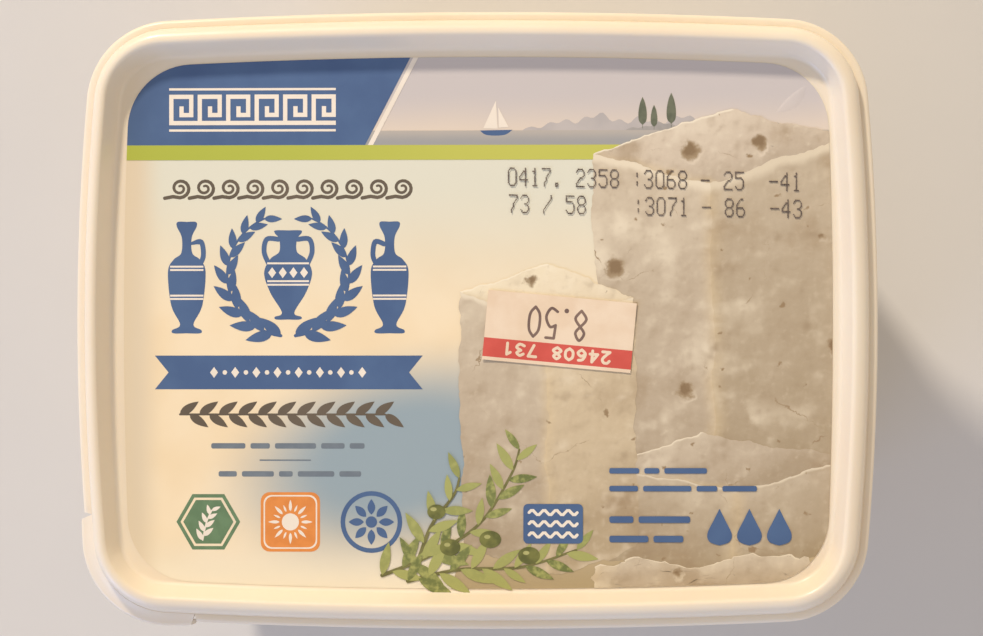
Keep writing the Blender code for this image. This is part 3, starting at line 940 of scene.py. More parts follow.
# %% Cutting off at the edge of the film
def clipped(outline, boundary):
    """The part of an outline that lies inside a boundary without hollows."""
    for start, end in zip(boundary, boundary[1:] + boundary[:1]):
        kept = []
        run, rise = end[0] - start[0], end[1] - start[1]
        sides = [run * (y - start[1]) - rise * (x - start[0]) for x, y in outline]
        for number, (spot, side) in enumerate(zip(outline, sides)):
            before = outline[number - 1]
            if (side > 0) != (sides[number - 1] > 0):
                share = sides[number - 1] / (sides[number - 1] - side)
                kept.append(tuple(before[axis] + (spot[axis] - before[axis]) * share for axis in (0, 1)))
            if side > 0:
                kept.append(spot)
        outline = kept
    return outline


def film_edge(distance=0.0):
    """The film's outline in millimetres, or a parallel one further in."""
    ring = whole_ring(inset(FILM_OUTLINE, distance * MM), 14, 6)
    return [((point.place.x + FILM_MIDDLE.x) / MM, (point.place.y + FILM_MIDDLE.y) / MM) for point in ring]


EDGE = film_edge(0.02)
print("the film's edge has", len(EDGE), "corners")


# %% Plates of ink
def plate_mesh(name, shapes, bottom, top):
    """Closed flat plates, one for each shape, between two heights in metres."""
    verts = []
    faces = []
    for place, outlines in enumerate(shapes):
        start = len(verts)
        count = sum(len(outline) for outline in outlines)
        rise = place % STAGGER_COUNT * STAGGER
        for height in (bottom + rise, top + rise):
            verts += [(x * MM, y * MM, height) for outline in outlines for x, y in outline]
        flat = [[(x, y, 0.0) for x, y in outline] for outline in outlines]
        for corners in geometry.tessellate_polygon(flat):
            faces.append([start + count + corner for corner in corners])
            faces.append([start + corner for corner in reversed(corners)])
        for outline in outlines:
            size = len(outline)
            for near, far in zip(range(size), [*range(1, size), 0]):
                faces.append((start + near, start + far, start + count + far, start + count + near))
            start += size
    mesh = bpy.data.meshes.new(name)
    mesh.from_pydata(verts, [], faces)
    face_outwards(mesh)
    return mesh


def ink_heights(level):
    """Bottom and top of the ink at a level of the overprint, in metres."""
    top = FILM_TOP + level * INK_STEP
    return top - INK_THICKNESS, top


def print_shapes(name, shapes, level, ink):
    """Plates of one ink on the film, at one level of the overprint."""
    mesh = plate_mesh(name, shapes, *ink_heights(level))
    finish_piece(mesh_object(name, mesh), ink)


# %% [markdown]
# Motifs that repeat
#
# Leaves, dots, scrolls and meander hooks repeat along a path or over a set of places, which is work
# for Geometry Nodes. One tree sets a motif along a path: it resamples the path, turns each motif
# along the curve, and leans it to one side or to both in turn. A second tree sets a motif on given
# points. Both can vary turn and size a little from a fixed seed, and both store a random tone on
# each motif, which the leaf ink reads.

# %% Tree that repeats a motif
def motif_tree(name, along_path):
    """A tree that sets a motif along a path, or on given points."""
    inputs = {"Motif": "Object", "Jitter": "Float", "Seed": "Int", "Material": "Material"}
    if along_path:
        inputs.update({"Count": "Int", "Lean": "Float", "Second lean": "Float", "End size": "Float"})
    tree, given = start_tree(name, inputs)
    motif = add_node(tree, "GeometryNodeObjectInfo", {"Object": given["Motif"]}).outputs["Geometry"]
    index = add_node(tree, "GeometryNodeInputIndex")
    points = given["Geometry"]
    if along_path:
        curve = add_node(tree, "GeometryNodeMeshToCurve", {"Mesh": points})
        points = add_node(tree, "GeometryNodeResampleCurve", {"Curve": curve, "Count": given["Count"]})
        tangent = add_node(tree, "GeometryNodeInputTangent")
        parts = add_node(tree, SEPARATE, {"Vector": tangent}).outputs
        heading = add_node(tree, MATH, {"operation": "ARCTAN2", 0: parts["Y"], 1: parts["X"]})
        second = add_node(tree, MATH, {"operation": "MODULO", 0: index, 1: 2.0})
        leans = {"Factor": second, "A": given["Lean"], "B": given["Second lean"]}
        lean = add_node(tree, MIX, leans)
        turn = add_node(tree, MATH, {"operation": "ADD", 0: heading, 1: lean})
        share = add_node(tree, MATH, {"operation": "DIVIDE", 0: index, 1: given["Count"]})
        size = add_node(tree, MIX, {"Factor": share, "A": 1.0, "B": given["End size"]})
    else:
        turn = add_node(tree, "GeometryNodeInputNamedAttribute", {"data_type": "FLOAT", "Name": "turn"})
        size = add_node(tree, "GeometryNodeInputNamedAttribute", {"data_type": "FLOAT", "Name": "size"})
    bounds = {"Min": (-1.0, -0.5, 0.0), "Max": (1.0, 0.5, 1.0), "Seed": given["Seed"]}
    chance = add_node(tree, "FunctionNodeRandomValue", {"data_type": "FLOAT_VECTOR", **bounds})
    chances = add_node(tree, SEPARATE, {"Vector": chance}).outputs
    jittered = {"operation": "MULTIPLY_ADD", 1: given["Jitter"]}
    turn = add_node(tree, MATH, {**jittered, 0: chances["X"], 2: turn})
    size = add_node(tree, MATH, {**jittered, 0: chances["Y"], 2: size})
    step = add_node(tree, MATH, {"operation": "MODULO", 0: index, 1: STAGGER_COUNT})
    rise = add_node(tree, MATH, {"operation": "MULTIPLY", 0: step, 1: STAGGER})
    lift = add_node(tree, "ShaderNodeCombineXYZ", {"Z": rise})
    stamps = {
        "Points": add_node(tree, "GeometryNodeSetPosition", {"Geometry": points, "Offset": lift}),
        "Instance": motif,
        "Rotation": add_node(tree, "ShaderNodeCombineXYZ", {"Z": turn}),
        "Scale": add_node(tree, "ShaderNodeCombineXYZ", {"X": size, "Y": size, "Z": 1.0}),
    }
    stamped = add_node(tree, "GeometryNodeInstanceOnPoints", stamps)
    tone = {"data_type": "FLOAT", "domain": "INSTANCE", "Name": "tone", "Value": chances["Z"]}
    toned = add_node(tree, "GeometryNodeStoreNamedAttribute", {**tone, "Geometry": stamped})
    end_tree(tree, toned, given["Material"])
    return tree


PATH_TREE = motif_tree("motif_along_path", True)
POINT_TREE = motif_tree("motif_on_points", False)
print("trees of", len(PATH_TREE.nodes), "and", len(POINT_TREE.nodes), "nodes")


# %% Motifs along a path and on places
def repeat_motif(name, motif, guide, tree, level, values):
    """Run a motif tree at one level of the overprint and finish the piece it makes."""
    stamp = mesh_object(name + "_motif", plate_mesh(name + "_motif", [motif], *ink_heights(level)))
    piece = grow(name, guide, tree, {"Jitter": 0.0, "Seed": 1, **values, "Motif": stamp})
    bpy.data.objects.remove(stamp, do_unlink=True)
    finish_piece(piece)


def print_along(name, motif, path, count, level, ink, lean=0.0, both=False, **others):
    """One ink's motif repeated along a path in millimetres."""
    places = [(x * MM, y * MM, 0.0) for x, y in path]
    guide = guide_mesh(name + "_path", places, {}, [(step, step + 1) for step in range(len(path) - 1)])
    values = {"Count": count, "Lean": lean, "Second lean": -lean if both else lean, "End size": 1.0}
    repeat_motif(name, motif, guide, PATH_TREE, level, {**values, "Material": ink, **others})


def print_on(name, motif, places, level, ink, **others):
    """One ink's motif on places given as x, y, turn and size."""
    columns = list(zip(*places))
    attributes = {"turn": ("FLOAT", columns[2]), "size": ("FLOAT", columns[3])}
    guide = guide_mesh(name + "_places", [(x * MM, y * MM, 0.0) for x, y in zip(*columns[:2])], attributes)
    repeat_motif(name, motif, guide, POINT_TREE, level, {"Material": ink, **others})


# %% [markdown]
# Gravure ink on film
#
# The label is a cast polypropylene film, printed by gravure and varnished. Ink on it is even, with
# faint clouds where the cells of the cylinder filled unevenly, and the matt varnish has a satin
# sheen with a slow ripple from lying in the mould. All inks share that ripple, since it belongs to
# the film. Some fields fade from one colour to another, along an axis in millimetres.

# %% Material of the print
CLOUD_RANGE = (0.35, 0.65)
FADE_UNEVENNESS = 0.16


def film_surface(name):
    """The varnished surface that all inks share: material, tree, shader and place."""
    material, tree, shader, place = start_material(name, {"IOR": 1.49})
    scuffs = add_node(tree, NOISE, {"Scale": 1 / (3 * MM), "Detail": 5.0, "Vector": place})
    satin = {"Value": scuffs, "From Min": 0.3, "From Max": 0.7, "To Min": 0.48, "To Max": 0.6}
    connect(tree, add_node(tree, MAP_RANGE, satin), shader.inputs["Roughness"])
    ripple = add_node(tree, NOISE, {"Scale": 1 / (16 * MM), "Detail": 2.0, "Vector": place})
    relief = {"Strength": 0.3, "Distance": 0.15 * MM, "Height": ripple}
    connect(tree, add_node(tree, "ShaderNodeBump", relief), shader.inputs["Normal"])
    return material, tree, shader, place


def layered(tree, colour, layers):
    """Colours laid one over the other, each where a value runs from its start to its end."""
    for value, start, end, above in layers:
        ends = {"interpolation_type": "SMOOTHSTEP", "Value": value, "From Min": start, "From Max": end}
        share = add_node(tree, MAP_RANGE, ends)
        mixed = {"data_type": "RGBA", "Factor": share, "A": colour, "B": above}
        colour = add_node(tree, MIX, mixed)
    return colour


def gravure_ink(name, colour, second, fade=None, cloud=9.0):
    """An ink on film. It clouds from one colour to the second, or fades along an axis in mm."""
    material, tree, shader, place = film_surface(name)
    share = add_node(tree, NOISE, {"Scale": 1 / (cloud * MM), "Detail": 3.0, "Vector": place})
    start, end = CLOUD_RANGE
    if fade:
        axis, start, end = fade[0], fade[1] * MM, fade[2] * MM
        along = add_node(tree, SEPARATE, {"Vector": place}).outputs[axis]
        uneven = {"operation": "MULTIPLY_ADD", 0: share, 1: (end - start) * FADE_UNEVENNESS, 2: along}
        share = add_node(tree, MATH, uneven)
    connect(tree, layered(tree, colour, [(share, start, end, second)]), shader.inputs["Base Color"])
    return material


# %% [markdown]
# Ground of the label
#
# The ground is cream, a little greener at the top and paler at the foot, and a soft blue haze lies
# behind the middle of the picture. Towards its left edge it darkens with painted shade beside the
# recess wall. A haze has no edge, so it isn't a plate: the ground's own material mixes it in by the
# distance from its middle.

# %% Film and its ground
HAZE_MIDDLE = (-13 * MM, -23.9 * MM, 0.0)
HAZE_REACH = (38 * MM, 21 * MM, 1.0)
HAZE_TURN = (0.0, 0.0, radians(14))


def cream_film():
    """The printed ground: cream, greener at the top, paler at the foot, with a blue haze, and painted shade
    darkening its left edge beside the recess wall.
    """
    material, tree, shader, place = film_surface("gravure_cream_ground")
    clouds = add_node(tree, NOISE, {"Scale": 1 / (14 * MM), "Detail": 3.0, "Vector": place})
    parts = add_node(tree, SEPARATE, {"Vector": place}).outputs
    oval = {"Vector": place, "Location": HAZE_MIDDLE, "Rotation": HAZE_TURN, "Scale": HAZE_REACH}
    oval = add_node(tree, "ShaderNodeMapping", {"vector_type": "TEXTURE", **oval})
    distance = add_node(tree, VECTOR_MATH, {"operation": "LENGTH", 0: oval}).outputs["Value"]
    layers = (
        (clouds, 0.3, 0.7, "F3DFB9"),
        (parts["Y"], -2 * MM, 26 * MM, "E2E2D0"),
        (parts["Y"], -36 * MM, -45 * MM, "F3EBD5"),
        # Painted shade: the ground darkens towards its left edge, where the recess wall shades the film.
        (parts["X"], -54.5 * MM, -60 * MM, "E3D5BA"),
        (distance, 1.0, 0.34, "98ABB4"),
    )
    connect(tree, layered(tree, "F7E6C4", layers), shader.inputs["Base Color"])
    return material


film = mesh_object("label_film", plate_mesh("label_film", [[film_edge()]], PANEL_Z + FILM_GAP, FILM_TOP))
finish_piece(film, cream_film(), "label")
print("film", [round(length / MM, 2) for length in film.dimensions], "mm")

# %% [markdown]
# Band along the top
#
# Across the top runs a picture strip: a blue field at the left, and beside it a pale sky over a low
# coast and the sea, closed below by a lime green line. The strip is a stack of plates: sky, hills,
# sea, trees, a small sail. The hills' skylines come from a few waves added up.

# %% Inks of the band
sky_ink = gravure_ink("gravure_pale_sky", "E6D7C3", "CCC6C4", ("Y", 31, 41), 12.0)
hill_ink = gravure_ink("gravure_far_hills", "C3BDB9", "B5B1AF")
near_hill_ink = gravure_ink("gravure_near_hills", "ADA9A5", "A09D98", cloud=3.0)
sea_ink = gravure_ink("gravure_sea", "BDB6AC", "A2A3A3", ("Y", 33.4, 30.9), 4.0)
blue_ink = gravure_ink("gravure_blue", "4D6A94", "46628D")
lime_ink = gravure_ink("gravure_lime_line", "B2BC46", "C6C85C", ("X", -50, 20))
white_ink = gravure_ink("gravure_white", "F4EBDC", "EFE6D6")
cypress_ink = gravure_ink("gravure_cypress", "6F7560", "5F6653", cloud=1.5)
brown_ink = gravure_ink("gravure_brown", "6A5F50", "615749")
slate_ink = gravure_ink("gravure_slate", "76828C", "6F7B86", cloud=2.0)
print(len(bpy.data.materials), "materials so far")

# %% Sky, coast, sea and the blue field
BAND_FOOT = 30.7
LIME_FOOT = 28.1
SEA_TOP = 33.2
PICTURE_LEFT = -30
BEYOND_SIDE = 70
BLUE_END = -19.5
LINE_START, LINE_END = -19.0, -18.1
SLANT_TOP = BAND_FOOT + 16
SLANT = 8.3


def skyline(start, end, foot, height, waves, steps=70):
    """A range of hills whose ridge adds up a few waves, given as length and phase."""
    ridge = []
    for share in (step / steps for step in range(1, steps)):
        x = start + (end - start) * share
        swell = sum(sin(2 * pi * x / length + phase) for length, phase in waves) / len(waves)
        ridge.append((x, foot + height * sin(pi * share) ** 0.5 * (0.6 + 0.4 * swell)))
    return [[(start, foot)] + ridge + [(end, foot)]]


def strip(left, bottom, right, top, lean=0.0):
    """A straight strip, cut off at the film's edge, whose top may be moved along."""
    return [clipped([(left, bottom), (right, bottom), (right + lean, top), (left + lean, top)], EDGE)]


CYPRESS = [(0.0, 0.0), (0.0, 0.12), (0.11, 0.25), (0.13, 0.5), (0.08, 0.8), (0.0, 1.0)]
far_hills = skyline(8, 46, SEA_TOP, 3.4, ((17, 0.4), (7.3, 2.0), (3.1, 1.0)))
near_hills = skyline(26, 57, SEA_TOP, 2.0, ((11, 2.2), (5.2, 0.5), (2.3, 3.0)))
CYPRESS_PLACES = ((29, 33.4, 5.6), (31, 33.2, 4.4), (34, 33.5, 6.2))
cypresses = [mirrored(x, foot, height, CYPRESS) for x, foot, height in CYPRESS_PLACES]
sails = [[[(1.2, 33.6), (3.7, 33.5), (3.4, 38.4)]], [[(3.9, 33.7), (5.6, 33.8), (3.8, 37.2)]]]
hull = [smooth_path([(0.6, 33.2), (1.8, 32.4), (4.8, 32.4), (6.3, 33.3)])]
for name, shapes, level, ink in (
    ("sky", [strip(PICTURE_LEFT, SEA_TOP - 1, BEYOND_SIDE, 50)], 1, sky_ink),
    ("far_hills", [far_hills], 2, hill_ink),
    ("near_hills", [near_hills], 3, near_hill_ink),
    ("sea", [strip(PICTURE_LEFT, BAND_FOOT, BEYOND_SIDE, SEA_TOP)], 4, sea_ink),
    ("cypresses", cypresses, 5, cypress_ink),
    ("sails", sails, 5, white_ink),
    ("hull", [hull], 5, blue_ink),
    ("blue_field", [strip(-100, BAND_FOOT, BLUE_END, SLANT_TOP, SLANT)], 6, blue_ink),
    ("slanted_line", [strip(LINE_START, BAND_FOOT, LINE_END, SLANT_TOP, SLANT)], 7, white_ink),
    ("lime_line", [strip(-BEYOND_SIDE, LIME_FOOT, BEYOND_SIDE, BAND_FOOT)], 6, lime_ink),
):
    print_shapes("print_" + name, shapes, level, ink)

# %% [markdown]
# A fold in the film
#
# The real film has crept up a little in its back right corner and shows one short fold across it.
# The fold is a low ridge with three corners in section, which swells from nothing and runs out to
# nothing. It takes the sky's ink, and since that ink is placed by the object's own coordinates, its
# colour runs on without a seam.

# %% Fold in the corner of the film
FOLD_START = (52.2, 36.2)
FOLD_END = (57.6, 41.0)
FOLD_WIDTH = 2.2
FOLD_HEIGHT = 0.13 * MM
FOLD_LEVEL = 2
FOLD_LEAST = 0.02


def fold_ridge(steps=16):
    """Rings of three corners along the fold."""
    start = Vector(FOLD_START)
    run = Vector(FOLD_END) - start
    side = Vector((-run.y, run.x)).normalized()
    foot = ink_heights(FOLD_LEVEL)[0]
    rings = []
    for number in range(steps + 1):
        swell = max(FOLD_LEAST, sin(pi * number / steps))
        spot = start + run * number / steps
        corners = (side * 0.25, side * 0.0, side * -0.75)
        places = [(spot + corner * FOLD_WIDTH * swell) * MM for corner in corners]
        heights = (foot, foot + FOLD_HEIGHT * swell, foot)
        rings.append([(place.x, place.y, height) for place, height in zip(places, heights)])
    return rings


fold_mesh = kept_mesh("film_fold", loft(fold_ridge()))
print("fold: open edges and volume", face_outwards(fold_mesh))
finish_piece(mesh_object("film_fold", fold_mesh), sky_ink)

# %% [markdown]
# Meander frieze
#
# The blue field carries a meander, the key pattern of old Greek borders: one hook, repeated along a
# line, between two thin rules. The hook is a square spiral built up from bars.

# %% Meander on the blue field
FRIEZE_LEFT = -53.5
FRIEZE_FOOT = 34.6
HOOK_PITCH = 5.0
HOOK_COUNT = 6
HOOK_HEIGHT = 4.6
HOOK_WIDTH = 3.5
HOOK_BEND = 0.36 * HOOK_PITCH
HOOK_BEND_FOOT = 1.4
HOOK_BEND_TOP = 3.3
PEN = 0.75
RULE_NEAR = 1.1
RULE_FAR = 1.5


def square_spiral(points, width):
    """Bars along straight runs in X and Y, cut at the corners so that none overlap."""
    half = width / 2
    shapes = []
    for start, end in zip(points, points[1:]):
        left, right = sorted((start[0], end[0]))
        bottom, top = sorted((start[1], end[1]))
        reach = -half if left == right else half
        shapes.append([box_outline(left - half, bottom - reach, right + half, top + reach)])
    return shapes


hook_points = [(0.0, 0.0), (0.0, HOOK_HEIGHT), (HOOK_WIDTH, HOOK_HEIGHT), (HOOK_WIDTH, HOOK_BEND_FOOT)]
hook_points += [(HOOK_BEND, HOOK_BEND_FOOT), (HOOK_BEND, HOOK_BEND_TOP)]
last_hook = FRIEZE_LEFT + HOOK_PITCH * (HOOK_COUNT - 1)
frieze = [(FRIEZE_LEFT, FRIEZE_FOOT), (last_hook, FRIEZE_FOOT)]
for number, bar in enumerate(square_spiral(hook_points, PEN)):
    print_along(f"print_meander_{number}", bar, frieze, HOOK_COUNT, 7, white_ink)
frieze_end = last_hook + HOOK_WIDTH + PEN / 2
rules = []
for low, high in (
    (-PEN / 2, PEN / 2),
    (-RULE_FAR, -RULE_NEAR),
    (HOOK_HEIGHT + RULE_NEAR, HOOK_HEIGHT + RULE_FAR),
):
    rules.append([box_outline(FRIEZE_LEFT - PEN / 2, FRIEZE_FOOT + low, frieze_end, FRIEZE_FOOT + high)])
print_shapes("print_frieze_rules", rules, 8, white_ink)

# %% [markdown]
# Vessels in a wreath
#
# The left half carries the main motif, in the same blue: a jug with two handles in a laurel wreath,
# and an oil flask on either side. A vessel is a profile drawn through a few widths and heights and
# mirrored, its handles are strokes, and thin cream bands lie over it. The wreath is two branches of
# leaves set along arcs.

# %% Profiles of the vessels
WREATH_X, WREATH_Y = -33.0, 8.0
WREATH_RADIUS = 10.7
LAUREL_START = 0.12
LAUREL_SPAN = 2.62
LAUREL_STEPS = 24
JUG_FOOT = WREATH_Y - 7.8
JUG_HEIGHT = 15.6
FLASK_FOOT = WREATH_Y - 10.2
FLASK_HEIGHT = 19.5
LEFT_FLASK_X, RIGHT_FLASK_X = -50.8, -15.2
HANDLE_PEN = 0.85
BELLY_BAND = 0.32
JUG = [(0, 0), (0.13, 0), (0.15, 0.03), (0.07, 0.08), (0.2, 0.3), (0.27, 0.52), (0.2, 0.68), (0.1, 0.76)]
JUG += [(0.1, 0.9), (0.15, 0.97), (0.14, 1.0), (0, 1)]
FLASK = [(0, 0), (0.12, 0), (0.13, 0.03), (0.06, 0.08), (0.14, 0.25), (0.17, 0.55), (0.12, 0.66)]
FLASK += [(0.05, 0.72), (0.045, 0.86), (0.09, 0.96), (0.08, 1.0), (0, 1)]
JUG_HANDLE = [(0.11, 0.9), (0.24, 0.9), (0.27, 0.76), (0.22, 0.63)]
FLASK_HANDLE = [(0.05, 0.8), (0.13, 0.82), (0.15, 0.7), (0.12, 0.62)]
FLASK_BANDS = (0.3, 0.33, 0.56, 0.59)
print("a jug of", JUG_HEIGHT, "mm between flasks of", FLASK_HEIGHT, "mm")

# %% Vessels
vessels = []
handles = []
bands = []
for x, foot, height, profile, handle, sides, half, ups in (
    (WREATH_X, JUG_FOOT, JUG_HEIGHT, JUG, JUG_HANDLE, (1, -1), 0.235, (0.38, 0.42, 0.62)),
    (LEFT_FLASK_X, FLASK_FOOT, FLASK_HEIGHT, FLASK, FLASK_HANDLE, (1,), 0.15, FLASK_BANDS),
    (RIGHT_FLASK_X, FLASK_FOOT, FLASK_HEIGHT, FLASK, FLASK_HANDLE, (-1,), 0.15, FLASK_BANDS),
):
    vessels.append(mirrored(x, foot, height, profile))
    for side in sides:
        path = smooth_path([(x + side * across * height, foot + up * height) for across, up in handle])
        handles.append(stroke(path, HANDLE_PEN))
    for up in ups:
        low = foot + up * height
        bands.append([box_outline(x - half * height, low, x + half * height, low + BELLY_BAND)])
print_shapes("print_vessels", vessels, 2, blue_ink)
print_shapes("print_vessel_handles", handles, 3, blue_ink)
print_shapes("print_vessel_bands", bands, 4, white_ink)
diamond = [[(0.7, 0.0), (0.0, 0.95), (-0.7, 0.0), (0.0, -0.95)]]
jug_row = [(WREATH_X - 2.8, JUG_FOOT + 8.2), (WREATH_X + 2.8, JUG_FOOT + 8.2)]
print_along("print_jug_diamonds", diamond, jug_row, 4, 4, white_ink)

# %% Wreath
laurel_leaf = [leaf_outline(4.9, 1.9)]
laurel_end = {"End size": 0.62}
for side, label in ((1, "right"), (-1, "left")):
    branch = []
    for step in range(LAUREL_STEPS + 1):
        turn = -pi / 2 + side * (LAUREL_START + LAUREL_SPAN * step / LAUREL_STEPS)
        branch.append(on_circle(WREATH_X, WREATH_Y, WREATH_RADIUS, turn))
    name = f"print_laurel_{label}"
    print_along(name, laurel_leaf, branch, 19, 5, blue_ink, 0.5 * side, True, **laurel_end)
    print_shapes(name + "_stem", [stroke(branch, 0.55, 0.3)], 4, blue_ink)

# %% [markdown]
# Rows of ornament and the ribbon
#
# Above the wreath runs a row of brown wave scrolls, and below it a blue ribbon with swallow tails
# and a row of leaves. Below these are plain short bars and a thin rule.

# %% Row of scrolls
ROW_LEFT = -54.0
ROW_RIGHT = -12.0
SCROLL_Y = 23.2
SCROLL_HEIGHT = 3.5
RIBBON_FOOT = -12.0
RIBBON_TOP = -6.1
RIBBON_Y = (RIBBON_FOOT + RIBBON_TOP) / 2
LEAF_ROW_Y = -16.4
RULE_Y = -24.4
SCROLL_TURNS = 3.1
SCROLL_STEPS = 25

wave = [(-0.62 * SCROLL_HEIGHT, -0.5 * SCROLL_HEIGHT), (-0.2 * SCROLL_HEIGHT, -0.42 * SCROLL_HEIGHT)]
for share in (step / SCROLL_STEPS for step in range(SCROLL_STEPS + 1)):
    turn = (SCROLL_TURNS * share - 0.5) * pi
    radius = SCROLL_HEIGHT * 0.5 * (1 - 0.78 * share)
    wave.append((radius * cos(turn) + 0.15 * SCROLL_HEIGHT, radius * sin(turn) * 0.95))
scroll_row = [(ROW_LEFT + 1.5, SCROLL_Y), (ROW_RIGHT - 1.5, SCROLL_Y)]
print_along("print_wave_scrolls", stroke(wave, 0.62, 0.4), scroll_row, 10, 2, brown_ink)

# %% Ribbon and row of leaves
upper = [(-9.4, RIBBON_FOOT), (-11.8, RIBBON_Y), (-9.4, RIBBON_TOP)]
ribbon = [(-56.4, RIBBON_FOOT), *upper, (-56.4, RIBBON_TOP), (-54.0, RIBBON_Y)]
print_shapes("print_ribbon", [[ribbon]], 2, blue_ink)
print_along("print_ribbon_diamonds", diamond, [(-46.0, RIBBON_Y), (-20.0, RIBBON_Y)], 8, 3, white_ink)
dot = [polygon(0, 0, 0.4, corners=16)]
print_along("print_ribbon_dots", dot, [(-44.1, RIBBON_Y), (-21.9, RIBBON_Y)], 7, 3, white_ink)
leaf_row = [(ROW_LEFT + 2.0, LEAF_ROW_Y), (ROW_RIGHT - 4.0, LEAF_ROW_Y)]
print_along("print_leaf_row", [leaf_outline(4.0, 1.5)], leaf_row, 22, 2, brown_ink, 0.6, True)
print_shapes("print_leaf_row_stem", [stroke(leaf_row, 0.35)], 1, brown_ink)

# %% Short bars
BAR_HEIGHT = 0.95
BAR_GAP = 0.9
RULE_HALF = 0.12


def bar_row(left, middle, height, *lengths):
    """A row of short bars with the given lengths."""
    shapes = []
    foot, top = middle - height / 2, middle + height / 2
    for length in lengths:
        shapes.append([box_outline(left, foot, left + length, top, height / 3)])
        left += length + BAR_GAP
    return shapes


bars = bar_row(-46.5, -21.9, BAR_HEIGHT, 6.0, 3.4, 7.2, 4.1, 2.6)
bars += bar_row(-45.2, -26.8, BAR_HEIGHT, 3.2, 5.6, 2.4, 6.4, 3.8)
bars.append([box_outline(-38.0, RULE_Y - RULE_HALF, -29.0, RULE_Y + RULE_HALF)])
print_shapes("print_small_bars", bars, 2, slate_ink)

# %% [markdown]
# Three badges
#
# Three plain ornaments stand in a row at the foot of the left half: a green hexagon with a sprig, an
# orange rounded square with a sun, and a blue ring with a flower.

# %% Badges
BADGE_Y = -35.2
SQUARE_ROUNDING = 0.3
HEXAGON_X, SQUARE_X, RING_X = -47.0, -32.6, -18.4
green_ink = gravure_ink("gravure_green", "6A8A66", "62815E", cloud=2.0)
orange_ink = gravure_ink("gravure_orange", "E79247", "E08B41", cloud=2.0)


def around(x, reach, count, size_step=0.0):
    """Places on a circle in a badge, turned outwards, where every other one may be smaller."""
    turns = [2 * pi * number / count for number in range(count)]
    spots = [on_circle(x, BADGE_Y, reach, turn) for turn in turns]
    sizes = [1.0 - size_step * (number % 2) for number in range(count)]
    return [(*spot, turn, size) for spot, turn, size in zip(spots, turns, sizes)]


def square(size):
    """The orange badge's rounded square, with a half size."""
    right, top = SQUARE_X + size, BADGE_Y + size
    return box_outline(SQUARE_X - size, BADGE_Y - size, right, top, size * SQUARE_ROUNDING)


hexagons = [polygon(HEXAGON_X, BADGE_Y, size, corners=6) for size in (5.6, 4.9, 4.4)]
rings = [polygon(RING_X, BADGE_Y, size) for size in (5.4, 4.6, 1.0)]
sprig = ((-1.0, -3.2), (-0.3, 0.0), (0.6, 2.0))
sprig = smooth_path([(HEXAGON_X + across, BADGE_Y + up) for across, up in sprig])
print_shapes("print_hexagon", [hexagons[:2], hexagons[2:]], 2, green_ink)
print_shapes("print_badge_stem", [stroke(sprig, 0.25)], 3, white_ink)
smaller = {"End size": 0.7}
print_along("print_badge_sprig", [leaf_outline(2.3, 0.9)], sprig, 8, 4, white_ink, 0.7, True, **smaller)
print_shapes("print_square", [[square(5.2)]], 2, orange_ink)
print_shapes("print_square_line", [[square(4.7), square(4.45)]], 3, white_ink)
print_shapes("print_sun_disc", [[polygon(SQUARE_X, BADGE_Y, 1.5)]], 3, white_ink)
print_on("print_sun_rays", [leaf_outline(2.0, 0.55)], around(SQUARE_X, 1.9, 16, 0.35), 3, white_ink)
print_shapes("print_ring", [rings[:2], rings[2:]], 3, blue_ink)
print_on("print_flower", [leaf_outline(2.7, 1.35, 0.9)], around(RING_X, 1.3, 8), 2, blue_ink)

# %% [markdown]
# Blocks of white cheese
#
# The picture at the right is three cut blocks of white cheese on a tan board. Each block shows three
# faces, and a face is a grid between two edges of the block. Geometry Nodes shift the grid by noise
# that depends only on the place, so two faces that share an edge crumble alike and stay joined. The
# sheet is then cut off at the film's edge and given its thickness. The ink reads where on its face a
# point lies: the edges of the cut are pale and the foot is darker. Lumps look raised, because a
# noise compared with itself a little further on is light on one side and dark on the other.

# %% Tree of the cheese faces
GRID_POINTS = (48, 90)
LUMP_SIZE = 7.0
CRUMB_SIZE = 1.6


def face_tree():
    """A grid spanned by two edges and crumbled by noise."""
    inputs = {"Corner": "Vector", "First edge": "Vector", "Second edge": "Vector"}
    inputs.update({"Crumble": "Float", "Fine crumble": "Float", "Material": "Material"})
    tree, given = start_tree("cheese_face", inputs)
    grid = {"Size X": 1.0, "Size Y": 1.0, "Vertices X": GRID_POINTS[0], "Vertices Y": GRID_POINTS[1]}
    grid = add_node(tree, "GeometryNodeMeshGrid", grid)
    middle = add_node(tree, "GeometryNodeInputPosition")
    share = add_node(tree, VECTOR_MATH, {"operation": "ADD", 0: middle, 1: (0.5, 0.5, 0.0)})
    kept = {"data_type": "FLOAT_VECTOR", "Name": "face_place", "Geometry": grid, "Value": share}
    stored = add_node(tree, "GeometryNodeStoreNamedAttribute", kept)
    named = {"data_type": "FLOAT_VECTOR", "Name": "face_place"}
    place = add_node(tree, "GeometryNodeInputNamedAttribute", named)
    parts = add_node(tree, SEPARATE, {"Vector": place}).outputs
    flat = given["Corner"]
    for edge, along in (("First edge", "X"), ("Second edge", "Y")):
        run = {"operation": "SCALE", "Vector": given[edge], "Scale": parts[along]}
        run = add_node(tree, VECTOR_MATH, run)
        flat = add_node(tree, VECTOR_MATH, {"operation": "ADD", 0: flat, 1: run})
    for size, detail, amount in ((LUMP_SIZE, 1.0, "Crumble"), (CRUMB_SIZE, 3.0, "Fine crumble")):
        rough = {"Scale": 1 / (size * MM), "Detail": detail, "Vector": flat}
        rough = add_node(tree, NOISE, rough).outputs["Color"]
        level = {"operation": "MULTIPLY_ADD", 0: rough, 1: (4.0, 4.0, 0.0), 2: (-2.0, -2.0, 0.0)}
        level = add_node(tree, VECTOR_MATH, level)
        shift = {"operation": "SCALE", "Vector": level, "Scale": given[amount]}
        shift = add_node(tree, VECTOR_MATH, shift)
        flat = add_node(tree, VECTOR_MATH, {"operation": "ADD", 0: flat, 1: shift})
    laid = add_node(tree, "GeometryNodeSetPosition", {"Geometry": stored, "Position": flat})
    end_tree(tree, laid, given["Material"])
    return tree


